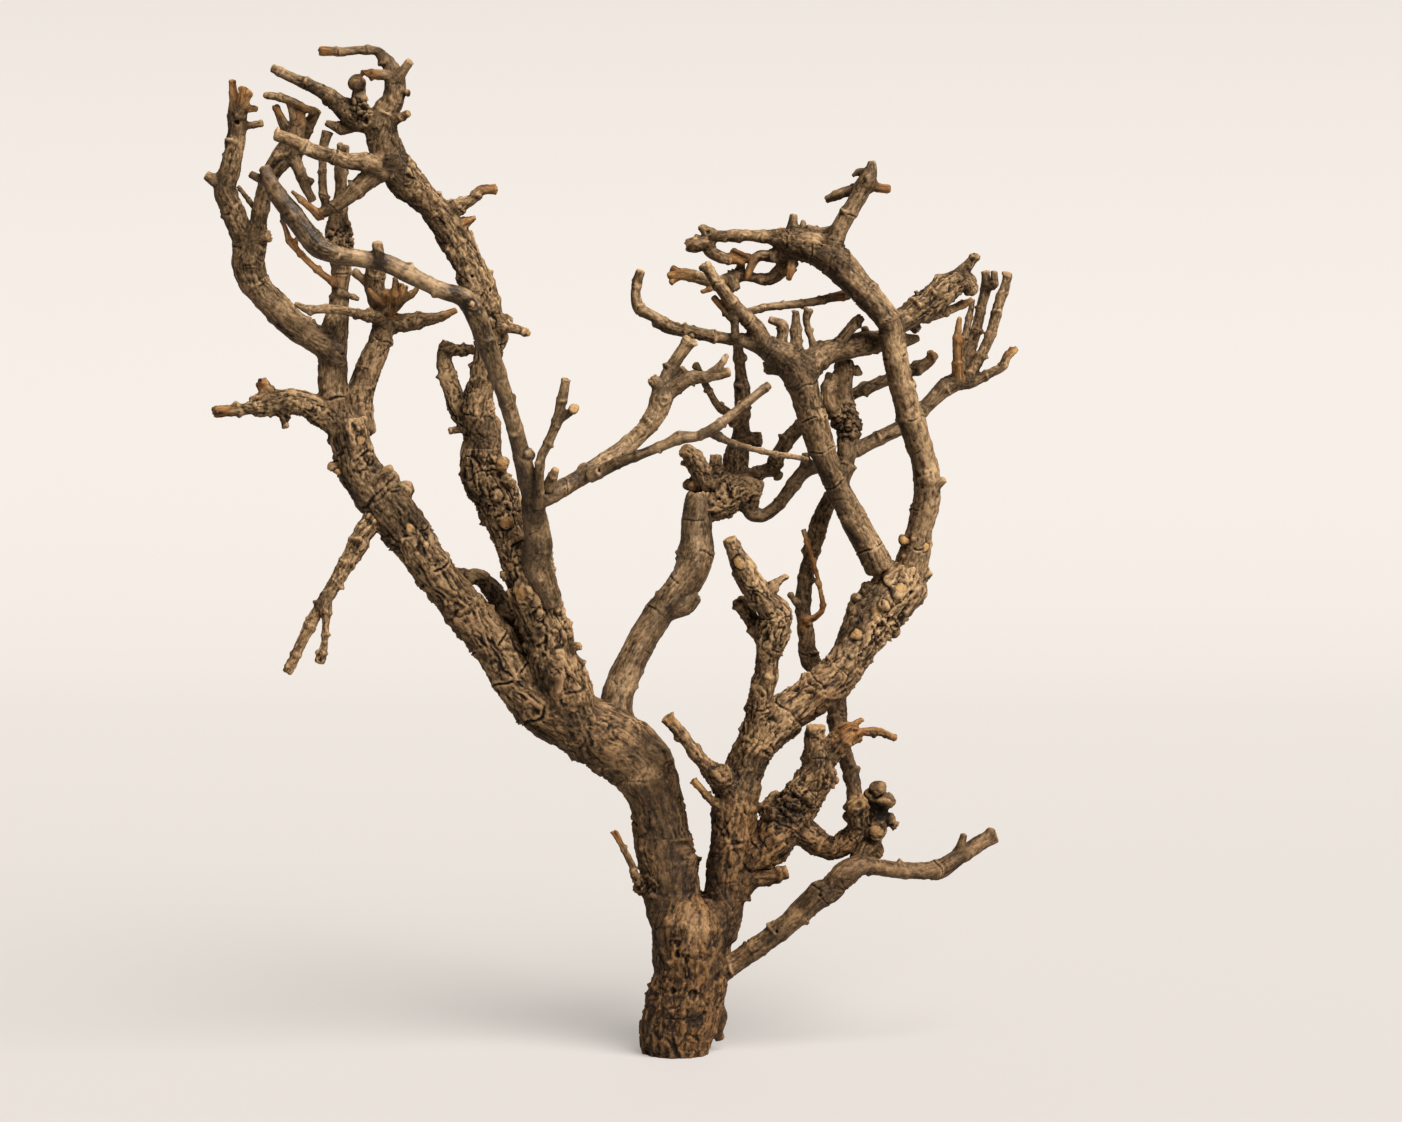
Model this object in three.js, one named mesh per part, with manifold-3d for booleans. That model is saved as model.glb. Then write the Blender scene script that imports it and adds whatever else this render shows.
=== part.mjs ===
// A bleached, weathered piece of driftwood: a forked trunk that stands upright
// on its sawn foot and opens into two crowns of limbs, boughs and broken twigs.
//
// Millimetres, +Z up, +X to the right, +Y away from the viewer. The origin is
// the middle of the sawn face that the piece stands on.
//
// Every limb is a tapering tube that is swept along a route of hand-placed
// points, [x, z, y, r]: x across and z up as they are seen from the front,
// y how far the point lies behind the foot, and r the half thickness seen.
import * as THREE from "three";
import { mergeVertices } from "three/addons/utils/BufferGeometryUtils.js";
import Module from "manifold-3d";

// Driving dimensions
const VIEW_DISTANCE = 1000; // from the eye to the plane of the foot
const VIEW_HEIGHT = 212; // of the eye over the surface
const VIEW_MIDDLE = [7.7, 161.1]; // where the line of sight meets that plane, x and z
const FOOT_SHIFT = 1.5; // from the routes' zero to the middle of the foot
const ROUTE_MIDDLE_Z = 159.6; // height in the routes of the line of sight
const JOINT_GAP = 0.3; // between a limb and the one it grows from
const LEFT_DEPTH = 0.78; // depth over width of the sections of the left crown
const RIGHT_DEPTH = 1.24; // depth over width of the sections of the right crown
const STEP_FACTOR = 3; // ring spacing over radius
const STEP_SHORTEST = 5; // least ring spacing
const BEND_SLACK = 0.5; // how far a limb may stray between two rings
const BEND_SHARE = 0.22; // and what its radius adds to that
const LEAN_BACK = 4; // how far the crowns lie behind the foot
const LEAN_HEIGHT = 90; // height over which the stems lean so far
const SWING_FROM = 10; // where the right crown starts to swing away, across
const SWING_BACK = 0.16; // slope of that swing

const wasm = await Module();
wasm.setup();

const eye = new THREE.Vector3(VIEW_MIDDLE[0], -VIEW_DISTANCE, VIEW_HEIGHT);
const aim = new THREE.Vector3(VIEW_MIDDLE[0], 0, VIEW_MIDDLE[1]);
const forward = aim.clone().sub(eye).normalize();
const rightward = new THREE.Vector3(1, 0, 0);
const upward = new THREE.Vector3().crossVectors(rightward, forward).normalize();

// The point that is seen at (x, z) and lies y behind the foot, with the scale
// that its distance gives to what is seen there.
function place(x, z, y) {
  const ray = aim
    .clone()
    .addScaledVector(rightward, x + FOOT_SHIFT - VIEW_MIDDLE[0])
    .addScaledVector(upward, z - ROUTE_MIDDLE_Z)
    .sub(eye);
  const lean = LEAN_BACK * Math.min(1, Math.max(0, z / LEAN_HEIGHT));
  const swing = SWING_BACK * Math.max(0, x - SWING_FROM);
  const scale = (y + lean + swing + VIEW_DISTANCE) / ray.y;
  return { point: eye.clone().addScaledVector(ray, scale), scale };
}

function sidesFor(radius) {
  if (radius > 12) return 14;
  if (radius > 6.5) return 8;
  if (radius > 3.9) return 6;
  if (radius > 2.7) return 5;
  return 4;
}

// Only the rings where the limb bends or swells away from a straight cone.
function thin(rings) {
  if (rings.length < 3) return rings;
  const [first, last] = [rings[0], rings[rings.length - 1]];
  const chord = last.at.clone().sub(first.at);
  let worst = 0;
  let pick = 0;
  for (let i = 1; i + 1 < rings.length; i += 1) {
    const f = THREE.MathUtils.clamp(rings[i].at.clone().sub(first.at).dot(chord) / chord.lengthSq(), 0, 1);
    const off = rings[i].at.distanceTo(first.at.clone().addScaledVector(chord, f));
    const swell = Math.abs(rings[i].r - THREE.MathUtils.lerp(first.r, last.r, f));
    const error = (off + swell) / (BEND_SLACK + BEND_SHARE * rings[i].r);
    if (error > worst) [worst, pick] = [error, i];
  }
  if (worst < 1) return [first, last];
  return [...thin(rings.slice(0, pick + 1)).slice(0, -1), ...thin(rings.slice(pick))];
}

// Rings of points round a smooth curve through the route, closed by two caps.
function tube(route, depth, grow) {
  const knots = route.map(([x, z, y, r]) => ({ ...place(x, z, y), r }));
  const curve = new THREE.CatmullRomCurve3(knots.map((k) => k.point), false, "centripetal");
  const spans = knots.slice(1).map((k, i) => k.point.distanceTo(knots[i].point));
  const widest = Math.max(...knots.map((k) => k.r));
  const sides = sidesFor(widest);
  const centres = [];
  spans.forEach((span, i) => {
    const mean = (knots[i].r + knots[i + 1].r) / 2;
    const parts = Math.max(1, Math.round(span / Math.max(STEP_SHORTEST, STEP_FACTOR * mean)));
    for (let k = 0; k < parts; k += 1) {
      const u = (i + k / parts) / spans.length;
      const r = knots[i].r * (1 - k / parts) + knots[i + 1].r * (k / parts);
      centres.push({ u, r, at: curve.getPoint(u), scale: knots[i].scale });
    }
  });
  const last = knots[knots.length - 1];
  centres.push({ u: 1, r: last.r, at: last.point.clone(), scale: last.scale });
  const kept = thin(centres);
  const positions = [];
  let across = null;
  kept.forEach((c, i) => {
    const before = kept[Math.max(0, i - 1)].at;
    const after = kept[Math.min(kept.length - 1, i + 1)].at;
    const along = after.clone().sub(before).normalize();
    const sight = c.at.clone().sub(eye).normalize();
    const side = new THREE.Vector3().crossVectors(along, sight);
    if (across === null || side.length() > 0.25) {
      if (side.length() < 1e-3) side.set(1, 0, 0);
      const flip = across !== null && side.dot(across) < 0 ? -1 : 1;
      across = side.normalize().multiplyScalar(flip);
    } else {
      across = across.clone().addScaledVector(along, -across.dot(along)).normalize();
    }
    const inward = new THREE.Vector3().crossVectors(across, along).normalize();
    const fair = Math.sqrt((2 * Math.PI) / (sides * Math.sin((2 * Math.PI) / sides)));
    const radius = c.r * c.scale * fair + grow;
    for (let s = 0; s < sides; s += 1) {
      const angle = ((s + 0.5) / sides) * Math.PI * 2;
      const p = c.at
        .clone()
        .addScaledVector(across, radius * Math.cos(angle))
        .addScaledVector(inward, (c.r * c.scale * fair * depth + grow) * Math.sin(angle));
      positions.push(p.x, p.y, p.z);
    }
  });
  const triangles = [];
  const ring = (i, s) => i * sides + (s % sides);
  for (let i = 0; i + 1 < kept.length; i += 1) {
    for (let s = 0; s < sides; s += 1) {
      triangles.push(ring(i, s), ring(i, s + 1), ring(i + 1, s + 1));
      triangles.push(ring(i, s), ring(i + 1, s + 1), ring(i + 1, s));
    }
  }
  for (let s = 1; s + 1 < sides; s += 1) {
    triangles.push(ring(0, 0), ring(0, s + 1), ring(0, s));
    const end = kept.length - 1;
    triangles.push(ring(end, 0), ring(end, s), ring(end, s + 1));
  }
  return toSolid(positions, triangles);
}

// A rough knob: an icosahedron of the given radius.
function knob([x, z, y, r], depth, grow) {
  const { point, scale } = place(x, z, y);
  const shape = new THREE.IcosahedronGeometry(r * scale * 1.08 + grow, 0);
  shape.translate(point.x, point.y, point.z);
  return fromGeometry(shape);
}

function toSolid(positions, triangles) {
  const build = (list) =>
    new wasm.Manifold(
      new wasm.Mesh({
        numProp: 3,
        vertProperties: new Float32Array(positions),
        triVerts: new Uint32Array(list),
      })
    );
  const solid = build(triangles);
  if (solid.volume() > 0) return solid;
  const turned = [];
  for (let i = 0; i < triangles.length; i += 3) {
    turned.push(triangles[i], triangles[i + 2], triangles[i + 1]);
  }
  return build(turned);
}

function fromGeometry(geometry) {
  geometry.deleteAttribute("normal");
  geometry.deleteAttribute("uv");
  const merged = mergeVertices(geometry, 1e-4);
  return toSolid(Array.from(merged.attributes.position.array), Array.from(merged.index.array));
}

// All the tubes and knobs of one limb in one body.
function limb(spec, grow = 0) {
  const parts = [
    ...Object.values(spec.tubes).map((route) => tube(route, spec.depth, grow)),
    ...(spec.knobs ?? []).map((k) => knob(k, spec.depth, grow)),
  ];
  return parts.reduce((sum, part) => sum.add(part));
}

function largest(solid) {
  const pieces = solid.decompose();
  return pieces.reduce((best, piece) => (piece.volume() > best.volume() ? piece : best));
}

// Every limb in the order of its growth. "from" names the limbs that it is cut
// clear of, where it leaves them or passes them.
const LIMBS = {
  trunk: {
    depth: 1,
    tubes: {
      stem: [
        [-1.5, -3, 0, 10.2], [-1.5, 1, 0, 10.5], [-1.6, 6, 0, 11.8], [0.8, 15, 0, 12.6],
        [3, 25, 0, 11.8], [3, 33, 0, 12.3], [3.4, 41, 0, 13.4], [3.8, 45, 0, 11.8],
      ],
      root_swelling: [[10.5, 5, 1, 2.2], [11.4, 12, 1, 3.2], [10.8, 19, 1, 2.4]],
    },
  },
  stem_left: {
    depth: LEFT_DEPTH,
    from: ["trunk"],
    tubes: {
      stem: [
        [-1, 36, 0, 7.4], [-2.2, 44, 0, 8.6], [-3.3, 52, 0.5, 9.3], [-4.2, 60, 1, 9.5], [-6.5, 70, 1, 8.9],
        [-8, 80, 1, 8.7], [-11, 89, 0, 9.8],
      ],
      flap: [[-3.6, 80, -2, 2.6], [-3.6, 86, -3, 3], [-4, 90.5, -3, 2.6]],
      stub: [[-8, 54, 0, 3.2], [-15.2, 54.6, -1, 2.8]],
      twig: [
        [-12, 55, -1, 2], [-15, 57, -2, 1.6], [-16, 60, -2, 1.2], [-20, 68, -3, 0.9], [-22.2, 72, -3, 1.1],
      ],
    },
  },
  stem_right: {
    depth: RIGHT_DEPTH,
    from: ["trunk", "stem_left"],
    tubes: {
      stem: [
        [11, 38, 0, 6.8], [12.6, 44, 0, 6.8], [13.9, 51, 0, 6.4], [14.5, 60, 0, 6.5], [17, 70, 0, 6.8],
        [17.5, 80, 0, 7.2], [19.5, 90, 1, 6.2], [22, 96, 1, 6],
      ],
      stub_inner: [
        [14, 87, -3, 4.5], [11, 90, -6, 3.4], [8, 93, -8, 2.3], [4, 98, -11, 1.9], [0, 103, -13, 1.8],
        [-5, 109, -15, 2.1],
      ],
      broken_twig: [[12, 80, -4, 1.8], [8.5, 83, -7, 1.3], [3.5, 88.5, -8, 0.9]],
      swelling: [[18, 50, -1, 3.5], [20, 56, -2, 4.4], [21.5, 63, -1, 4.4], [19, 70, 0, 3]],
      stub_outer: [[22, 56, -3, 3.2], [28.5, 57, -5, 2.5], [34.5, 58.7, -6, 1.8]],
    },
  },
  lower_bough: {
    depth: RIGHT_DEPTH,
    from: ["trunk"],
    tubes: {
      bough: [
        [11, 25, -2, 3.7], [17, 29, -3, 3.3], [25, 34.7, -5, 3.3], [35, 42.2, -7, 3.4], [45, 51.3, -9, 4.1],
        [48, 53, -9, 3.9], [54, 58.5, -10, 4], [58.5, 60.8, -9, 3.3], [64, 60, -8, 2.6], [72, 59, -6, 2.5],
        [80, 59, -4, 2.7], [84, 59.6, -3, 3], [90, 63.5, -1, 2.6], [96, 67.5, 2, 2.5], [101.5, 70.6, 4, 2.4],
      ],
      spur: [[89.5, 63.5, -1, 1.9], [90.8, 67.5, -2, 1.4], [91.7, 71, -2, 1.1]],
    },
  },
  lower_cluster: {
    depth: 1,
    from: ["lower_bough"],
    tubes: {
      stem: [
        [56.5, 60, -8, 3.2], [58.5, 64, -5, 3.1], [61, 68, -2, 3.1], [63, 73, -1, 3.4], [63.5, 78, -1, 3.5],
        [62.6, 82.5, -2, 3.2], [62.2, 85, -3, 3],
      ],
      peg: [[62, 70, -3, 2.1], [63.2, 70.6, -9, 1.9]],
      spur: [[65, 77, -1, 2.2], [67.3, 75, -1, 1.6], [69.8, 73.3, -2, 1.1]],
      peg_top: [[63, 85, -3, 2], [65.5, 85.6, -5, 1.6]],
      hip: [[61.5, 68, -1, 2.6], [63.3, 66, -1, 2.2], [62.8, 63.6, -2, 1.5]],
    },
    knobs: [[65.6, 81.3, -4, 3]],
  },
  limb_c: {
    depth: RIGHT_DEPTH,
    from: ["stem_right"],
    tubes: {
      limb: [
        [20.5, 93, 1, 6.1], [24, 99.5, 1, 6], [34, 110, 2, 6.4], [42, 115.5, 3, 6.2], [50, 122, 4, 6],
        [55, 129, 6, 6.4], [59.5, 137, 8, 7.2], [66, 145.5, 10, 7.6], [71, 151.5, 11, 7.8], [73.5, 155.5, 12, 6.6],
      ],
      shoulder: [[54.2, 131, 6, 4.2], [56.2, 137.5, 6, 4.2], [58.5, 143.5, 8, 4.1], [63.4, 150, 9, 4.4]],
      right_lump: [[74, 154.5, 12, 4], [79.8, 157.5, 11, 3]],
    },
    knobs: [[57.2, 147.8, 8, 2], [68, 137.5, 9, 2.7]],
  },
  stub_c1: {
    depth: RIGHT_DEPTH,
    from: ["limb_c", "stem_right"],
    tubes: {
      stub: [
        [23.5, 102, -1, 4.2], [25.2, 112, -3, 4], [26.8, 120, -4, 3.7], [27.4, 125, -5, 3.6], [28.2, 130, -5, 4.1],
        [30, 137, -6, 5.1], [30.5, 141.5, -6, 5], [28.4, 145, -7, 4.4], [24.2, 150, -8, 4], [20.5, 156, -9, 3.6],
        [17.5, 162, -10, 2.8], [15.3, 167, -11, 2.2],
      ],
      spur: [[28.5, 147, -8, 2.3], [29.5, 151, -9, 1.7], [32, 153.5, -10, 1.1], [34.5, 154.7, -10, 0.9]],
      rear: [[26, 134, -2, 2.4], [23.5, 139, 0, 2.4], [21, 143, 1, 2.4], [18, 147.3, 2, 2.1]],
    },
  },
  burl_e: {
    depth: RIGHT_DEPTH,
    from: ["stem_right"],
    tubes: {
      limb: [
        [21, 61, -3, 4.6], [26, 66, -3, 5.6], [31, 71.5, -3, 6.8], [35, 77, -3, 7], [39.5, 84, -3, 5.8],
        [43.5, 90, -3, 5.6], [44.8, 95, -3, 5.2], [45.2, 98, -3, 4.4],
      ],
      peg: [[43, 95, -4, 3.2], [43.2, 101, -5, 3.1], [43.4, 106, -6, 2.7]],
      broken: [[46.5, 95.5, -3, 4], [50, 99.5, -4, 4.1], [54, 103.5, -5, 3.7], [57.2, 104.5, -6, 2]],
      splinter_up: [[54, 104.5, -6, 1.8], [56.5, 106.7, -6, 1.1], [59, 108.4, -6, 0.5]],
      dry_twig: [[57, 104, -6, 1.4], [64, 104, -5, 1.3], [69.6, 101.8, -4, 0.9]],
      arm: [
        [36, 73, -2, 5], [41, 70.5, -3, 4.3], [46, 67, -4, 3.7], [50.5, 66.3, -5, 3.5], [54, 69, -6, 3.5],
        [56.8, 73.5, -8, 3.1], [57.3, 78, -12, 3.3],
      ],
    },
    knobs: [[28.5, 78, -2, 3.8], [31.5, 82, -1, 3.2], [57, 80, -13, 3.6], [49.3, 88.5, -3, 1.6]],
  },
  rear_stem_j: {
    depth: 1,
    from: ["burl_e", "limb_c"],
    tubes: {
      stem: [
        [56.5, 78, -4, 2.6], [56, 83.5, -2, 2.4], [55, 90, 1, 2.4], [52.5, 98, 6, 2.4], [50.8, 106, 10, 3],
        [50.3, 112, 14, 3.2], [50, 118, 18, 2.6], [45.5, 122, 21, 2.6], [41.6, 128, 21, 3], [40.4, 135, 20, 2.4],
        [39.8, 140, 20, 2.3], [39.3, 146, 20, 2.6], [40.2, 154, 20, 2.2], [41.5, 160, 20, 2.3], [43.5, 168, 19, 2.9],
        [46, 175, 18, 2.7], [49.2, 181.5, 17.5, 2.3], [51.5, 186, 17.5, 1.9],
      ],
      spur: [[39, 144.5, 19, 1.6], [36.5, 147, 18, 1.1], [34.8, 149.4, 18, 0.8]],
      peeling: [
        [40.2, 140, 18, 1.5], [43.5, 141.5, 16, 1], [45.6, 144, 15, 0.8], [45, 150, 14, 0.7], [43, 158, 14, 0.7],
        [40.6, 166, 14, 0.7], [39.4, 170, 14, 0.7],
      ],
    },
  },
  limb_left: {
    depth: LEFT_DEPTH,
    from: ["stem_left"],
    tubes: {
      limb: [
        [-11.3, 87, 0, 9.6], [-13.5, 93.5, 0, 10.4], [-20, 99, -1, 10.9], [-30, 104.8, -3, 10.4],
        [-43.3, 112, -6, 9.2], [-52.8, 120.8, -8, 7.7], [-60, 131, -10, 6.9], [-68, 140.5, -12, 6.5],
        [-76, 150.5, -14, 6.2], [-83.3, 160, -16, 6.3], [-89.5, 169.5, -18, 6.7], [-95, 176, -20, 7.4],
        [-100, 182, -21, 7.2],
      ],
      elbow: [[-16, 97, -3, 5.5], [-9, 97.5, -4, 4.6], [-5.6, 92.5, -4, 3.4]],
    },
    knobs: [[-90, 182.5, -19, 2.6]],
  },
  left_fork: {
    depth: LEFT_DEPTH,
    from: ["limb_left"],
    tubes: {
      fork: [
        [-98.5, 180, -21, 7.2], [-102.5, 186, -22, 7], [-105.5, 191, -23, 6.8], [-107.2, 196, -24, 6.4],
        [-108.3, 201, -25, 6.6], [-109, 205, -25, 5.6],
      ],
      peg_left: [[-108, 188, -24, 2.1], [-115, 190.8, -26, 1.5]],
      peg_right: [[-99.5, 187, -25, 1.7], [-94.2, 190.2, -27, 1.2]],
    },
    knobs: [[-94.5, 186, -21, 2.2]],
  },
  hanging_twig: {
    depth: LEFT_DEPTH,
    from: ["limb_left", "left_fork"],
    tubes: {
      twig: [
        [-99, 174, -22, 3.2], [-103.5, 168.6, -24, 3.2], [-106, 164, -25, 3.2], [-108.5, 159.5, -26, 2.6],
        [-112, 154, -27, 2.3], [-114.8, 149, -28, 2.3], [-119, 142, -29, 1.9], [-122.2, 136, -30, 1.8],
        [-125, 130.5, -31, 1.7], [-128.3, 123.2, -32, 1.6],
      ],
      side_twig: [
        [-115.4, 149, -28, 1.9], [-115.8, 143.5, -30, 1.8], [-115.8, 139, -31, 1.2], [-116, 134, -32, 1.1],
        [-116.6, 130.5, -33, 1.3], [-118, 126.3, -34, 1.8],
      ],
    },
  },
  left_bough: {
    depth: LEFT_DEPTH,
    from: ["left_fork"],
    tubes: {
      bough: [
        [-106, 198.5, -25, 4.2], [-113, 204.3, -27, 4], [-120, 210, -28, 4], [-126, 211.2, -29, 3.9],
        [-131.5, 211, -30, 4.2], [-137, 210.4, -31, 3.6], [-139, 209.6, -32, 2.2], [-145, 208.7, -33, 1.9],
        [-152.3, 208, -34, 2],
      ],
      broken: [[-133, 212, -30, 3.2], [-136, 216.5, -30, 2], [-136.4, 218.8, -30, 0.9]],
      stub_under: [[-129.6, 208, -30, 1.8], [-128.8, 202.6, -30, 0.9]],
    },
  },
  bough_a1: {
    depth: LEFT_DEPTH,
    from: ["left_fork", "left_bough"],
    tubes: {
      bough: [
        [-108.6, 202, -25, 5.2], [-112.5, 210, -26, 4.7], [-113.4, 220, -27, 4.8], [-113.5, 230, -27, 4.9],
        [-112.5, 237, -27, 4], [-111.3, 245, -26, 2.7], [-111, 255, -25, 2.8], [-111.4, 261, -25, 4],
        [-111.5, 266, -24, 4.3], [-111.5, 272, -24, 2.9], [-110.8, 280, -23, 1.9], [-110.8, 288, -23, 1.9],
        [-110, 295, -23, 2],
      ],
      splinter: [
        [-113, 250, -27, 1.4], [-117, 253, -29, 1.1], [-121, 256.5, -31, 1], [-125, 260.5, -32, 1.1],
        [-127.3, 263.5, -33, 1.2], [-129, 268, -33, 0.8], [-130.3, 271, -33, 0.5],
      ],
      link: [[-112, 247, -28, 1.5], [-108, 245.8, -27, 0.9], [-104.8, 244.6, -26, 0.8]],
    },
  },
  bough_a2: {
    depth: LEFT_DEPTH,
    from: ["left_fork", "bough_a1"],
    tubes: {
      bough: [
        [-104, 201, -23, 4.4], [-104.8, 209, -21, 4.3], [-104, 216, -19, 4.2], [-101.5, 223, -18, 4],
        [-98.5, 230, -17, 3.5], [-97, 237, -17, 3.8], [-97.7, 242, -17, 3.7], [-99.8, 248, -17, 3.3],
        [-99.6, 256, -17, 3.1],
      ],
      cross_arm: [
        [-97, 237.5, -17, 3.2], [-90, 237, -16, 3], [-84, 237.8, -16, 2.2], [-79, 238.8, -15, 1.6],
        [-73, 241.3, -14, 0.9],
      ],
      broken_cluster: [[-96, 241, -19, 2.6], [-92, 245, -20, 2.5], [-90.4, 249.3, -20, 1.5]],
      rosette: [[-97, 243, -19, 2.4], [-95.3, 247, -22, 1.6]],
      front_twig: [
        [-98, 238.5, -19, 2.2], [-105, 239.8, -29, 1.5], [-110, 241, -36, 1.3], [-116, 241.6, -37, 1.4],
        [-121, 241.3, -37, 1.3], [-126, 243.3, -38, 0.8],
      ],
    },
  },
  bough_s: {
    depth: LEFT_DEPTH,
    from: ["bough_a1", "bough_a2"],
    tubes: {
      bough: [
        [-112, 226.5, -28, 4.6], [-118, 231, -29, 4.5], [-127, 237.3, -30, 4.4], [-133, 243.3, -32, 4.3],
        [-138.5, 249.5, -33, 4.6], [-140.8, 255, -34, 5.5], [-141, 259, -34, 5.5], [-140.5, 263, -34, 4.6],
      ],
    },
  },
  bough_s1: {
    depth: LEFT_DEPTH,
    from: ["bough_s"],
    tubes: {
      bough: [
        [-141.3, 261, -34, 4.3], [-143.6, 267, -35, 3.8], [-146.6, 275, -36, 3.6], [-148.6, 281, -37, 3.6],
        [-147.2, 285, -37, 3.4], [-146, 291, -38, 3.1], [-144.8, 298, -38, 2.9], [-144.5, 304, -39, 3.2],
        [-145.3, 309, -39, 1.9], [-146.2, 316, -40, 0.9],
      ],
      splinter_mid: [[-143.7, 304, -40, 2.2], [-143, 309, -41, 1.7], [-142.6, 314, -41, 1.1]],
      splinter_right: [[-142.5, 307.5, -41, 1.5], [-140.3, 312.5, -41, 1.1]],
      peg: [[-143, 300.7, -38, 1.4], [-136, 302, -39, 1.1]],
      side_stub: [[-147, 281, -37, 2.3], [-151.5, 283, -38, 2], [-154.8, 285.2, -38, 1.4]],
    },
  },
  bough_s2: {
    depth: LEFT_DEPTH,
    from: ["bough_s", "bough_s1"],
    tubes: {
      bough: [
        [-139.2, 261, -35, 4.2], [-137.7, 270, -37, 2.8], [-136, 278, -38, 2.6], [-133.8, 285, -39, 2.7],
        [-130.5, 289.8, -40, 3.3], [-127.4, 293, -40, 4.3], [-126, 298, -41, 3.3], [-124.2, 303.5, -41, 2],
        [-123.5, 307.5, -41, 1],
      ],
      plate_left: [[-127, 297.5, -41, 2.2], [-129.6, 302, -42, 1.6], [-132.2, 307.8, -42, 0.8]],
      plate_mid: [[-125.6, 299, -41, 1.7], [-126.2, 303.5, -42, 1.2], [-127.6, 308.2, -43, 1]],
      bar: [
        [-135.5, 311, -44, 1.1], [-131, 310.3, -44, 1.2], [-126.5, 308.8, -43, 1.4], [-122.5, 306.8, -42, 1.3],
        [-119.3, 305.5, -42, 1.4],
      ],
      prop: [[-126, 290.5, -41, 2.1], [-122.6, 282, -40, 1.8], [-120, 276.6, -38, 1.2]],
      dark_stub: [[-139, 264.5, -37, 2.4], [-133.8, 265.3, -38, 2]],
      thin_link: [[-138.3, 273.5, -37, 1], [-144.3, 281.4, -34, 0.7]],
    },
  },
  limb_b: {
    depth: LEFT_DEPTH,
    from: ["limb_left"],
    tubes: {
      limb: [
        [-34.5, 108, -5, 8.5], [-37.5, 115, -7, 8.7], [-41, 124, -10, 7.9], [-44, 136, -13, 7.3],
        [-47.5, 147, -16, 7.5], [-49.5, 157, -18, 7.9], [-50.5, 162, -19, 7],
      ],
      bridge: [
        [-48, 127, -8, 3.4], [-52.5, 135.5, -5, 3.2], [-57, 143, -3, 3.1], [-61, 149.5, -2, 2.9],
        [-65.5, 154, -2, 2.5], [-70, 155, -3, 2], [-74, 156.3, -4, 1.4],
      ],
      stub: [[-38, 130.7, -13, 1.9], [-32.6, 132, -14, 1.2]],
    },
    knobs: [[-54.5, 149.5, -19, 3], [-56.6, 154.8, -19, 2.6]],
  },
  bough_b1: {
    depth: LEFT_DEPTH,
    from: ["limb_b"],
    tubes: {
      bough: [
        [-51.8, 159.5, -18, 6.6], [-55, 166, -18, 5.8], [-57.6, 172, -19, 5.7], [-60.5, 180, -20, 6.9],
        [-63.7, 186, -21, 7.2], [-65, 193, -22, 7], [-64.8, 200, -23, 5.8], [-65, 206, -24, 5.6],
      ],
      peg_left: [[-70, 203, -24, 1.6], [-75.8, 201.6, -25, 0.8]],
      peg_right: [[-58, 186, -24, 2], [-54.6, 184.4, -26, 1.4]],
      side_bough: [
        [-69, 203.5, -24, 3.4], [-72.5, 209, -23, 3.1], [-74.5, 215, -22, 2.9], [-76.6, 222, -21, 2.7],
        [-77.2, 227, -21, 2.4], [-76, 231, -21, 1.9],
      ],
      side_twig: [[-76, 228, -22, 1.9], [-70.5, 228.2, -23, 1.7], [-67.6, 228.5, -24, 1.4]],
    },
    knobs: [[-58.3, 191, -26, 2]],
  },
  bough_z: {
    depth: LEFT_DEPTH,
    from: ["bough_b1"],
    tubes: {
      bough: [
        [-65.4, 203.5, -24, 5.2], [-66.6, 211, -26, 4.6], [-64.2, 221, -28, 4.2], [-62.3, 231, -30, 4.6],
        [-63, 240, -32, 4.7], [-66.8, 250, -34, 5], [-71.5, 260, -36, 4.8], [-77, 269.5, -38, 4.8],
        [-85, 278.5, -40, 4.9], [-91, 285, -42, 5.3], [-95, 290.5, -43, 5.6], [-97, 296, -44, 5.5],
        [-97.7, 301, -45, 5],
      ],
      twig_right: [[-59, 236, -33, 2.2], [-54, 235, -35, 1.4], [-49.5, 233.3, -37, 1.1]],
      branch_right: [
        [-75, 273, -38, 2.8], [-71.5, 275.5, -38, 2.3], [-68, 277.2, -38, 1.7], [-65, 280.2, -38, 1.6],
        [-60, 280.4, -38, 1.2],
      ],
      splinter: [[-71.5, 269, -38, 2.2], [-67, 271.2, -39, 0.6]],
    },
    knobs: [[-58.4, 238, -31, 2.6]],
  },
  crown_left: {
    depth: LEFT_DEPTH,
    from: ["bough_z"],
    tubes: {
      stem: [
        [-97.7, 299, -45, 4.9], [-96.2, 305, -45, 4.3], [-93.8, 310, -46, 3.4], [-93.4, 317, -46, 3.4],
        [-95, 320.5, -46, 2.4], [-98.5, 325, -47, 1.7],
      ],
      top_twig: [[-98, 325.2, -47, 1.5], [-104, 325.7, -48, 1.3], [-111, 325.1, -49, 1.4], [-118, 325.4, -50, 1.6]],
      jag: [[-94, 317.5, -47, 2], [-100, 317.8, -49, 1.6], [-104.5, 318.7, -50, 0.5]],
      peg_high: [[-92.5, 316.5, -47, 2.1], [-88.2, 322.2, -49, 1.2]],
      peg_low: [[-94.5, 302, -46, 1.8], [-88.5, 305.4, -49, 1.1]],
    },
  },
  crown_arm: {
    depth: LEFT_DEPTH,
    from: ["bough_z", "crown_left"],
    tubes: {
      arm: [
        [-99.5, 301, -45, 3.8], [-106, 304.3, -46, 4.6], [-110.5, 307.2, -46, 3.2], [-115, 311, -46, 2.3],
        [-121, 314.3, -46, 1.9], [-127, 316.8, -46, 1.7], [-133.5, 320, -46, 1.4],
      ],
      stub_under: [[-105, 301.5, -45, 2.6], [-111, 300.5, -45, 1.9], [-116, 302.1, -45, 0.9]],
      head: [[-105, 306.5, -48, 2.4], [-104.8, 313.4, -49, 2]],
    },
    knobs: [[-105.6, 314.8, -50, 3]],
  },
  crown_low: {
    depth: LEFT_DEPTH,
    from: ["bough_z", "crown_arm", "crown_left"],
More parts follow.
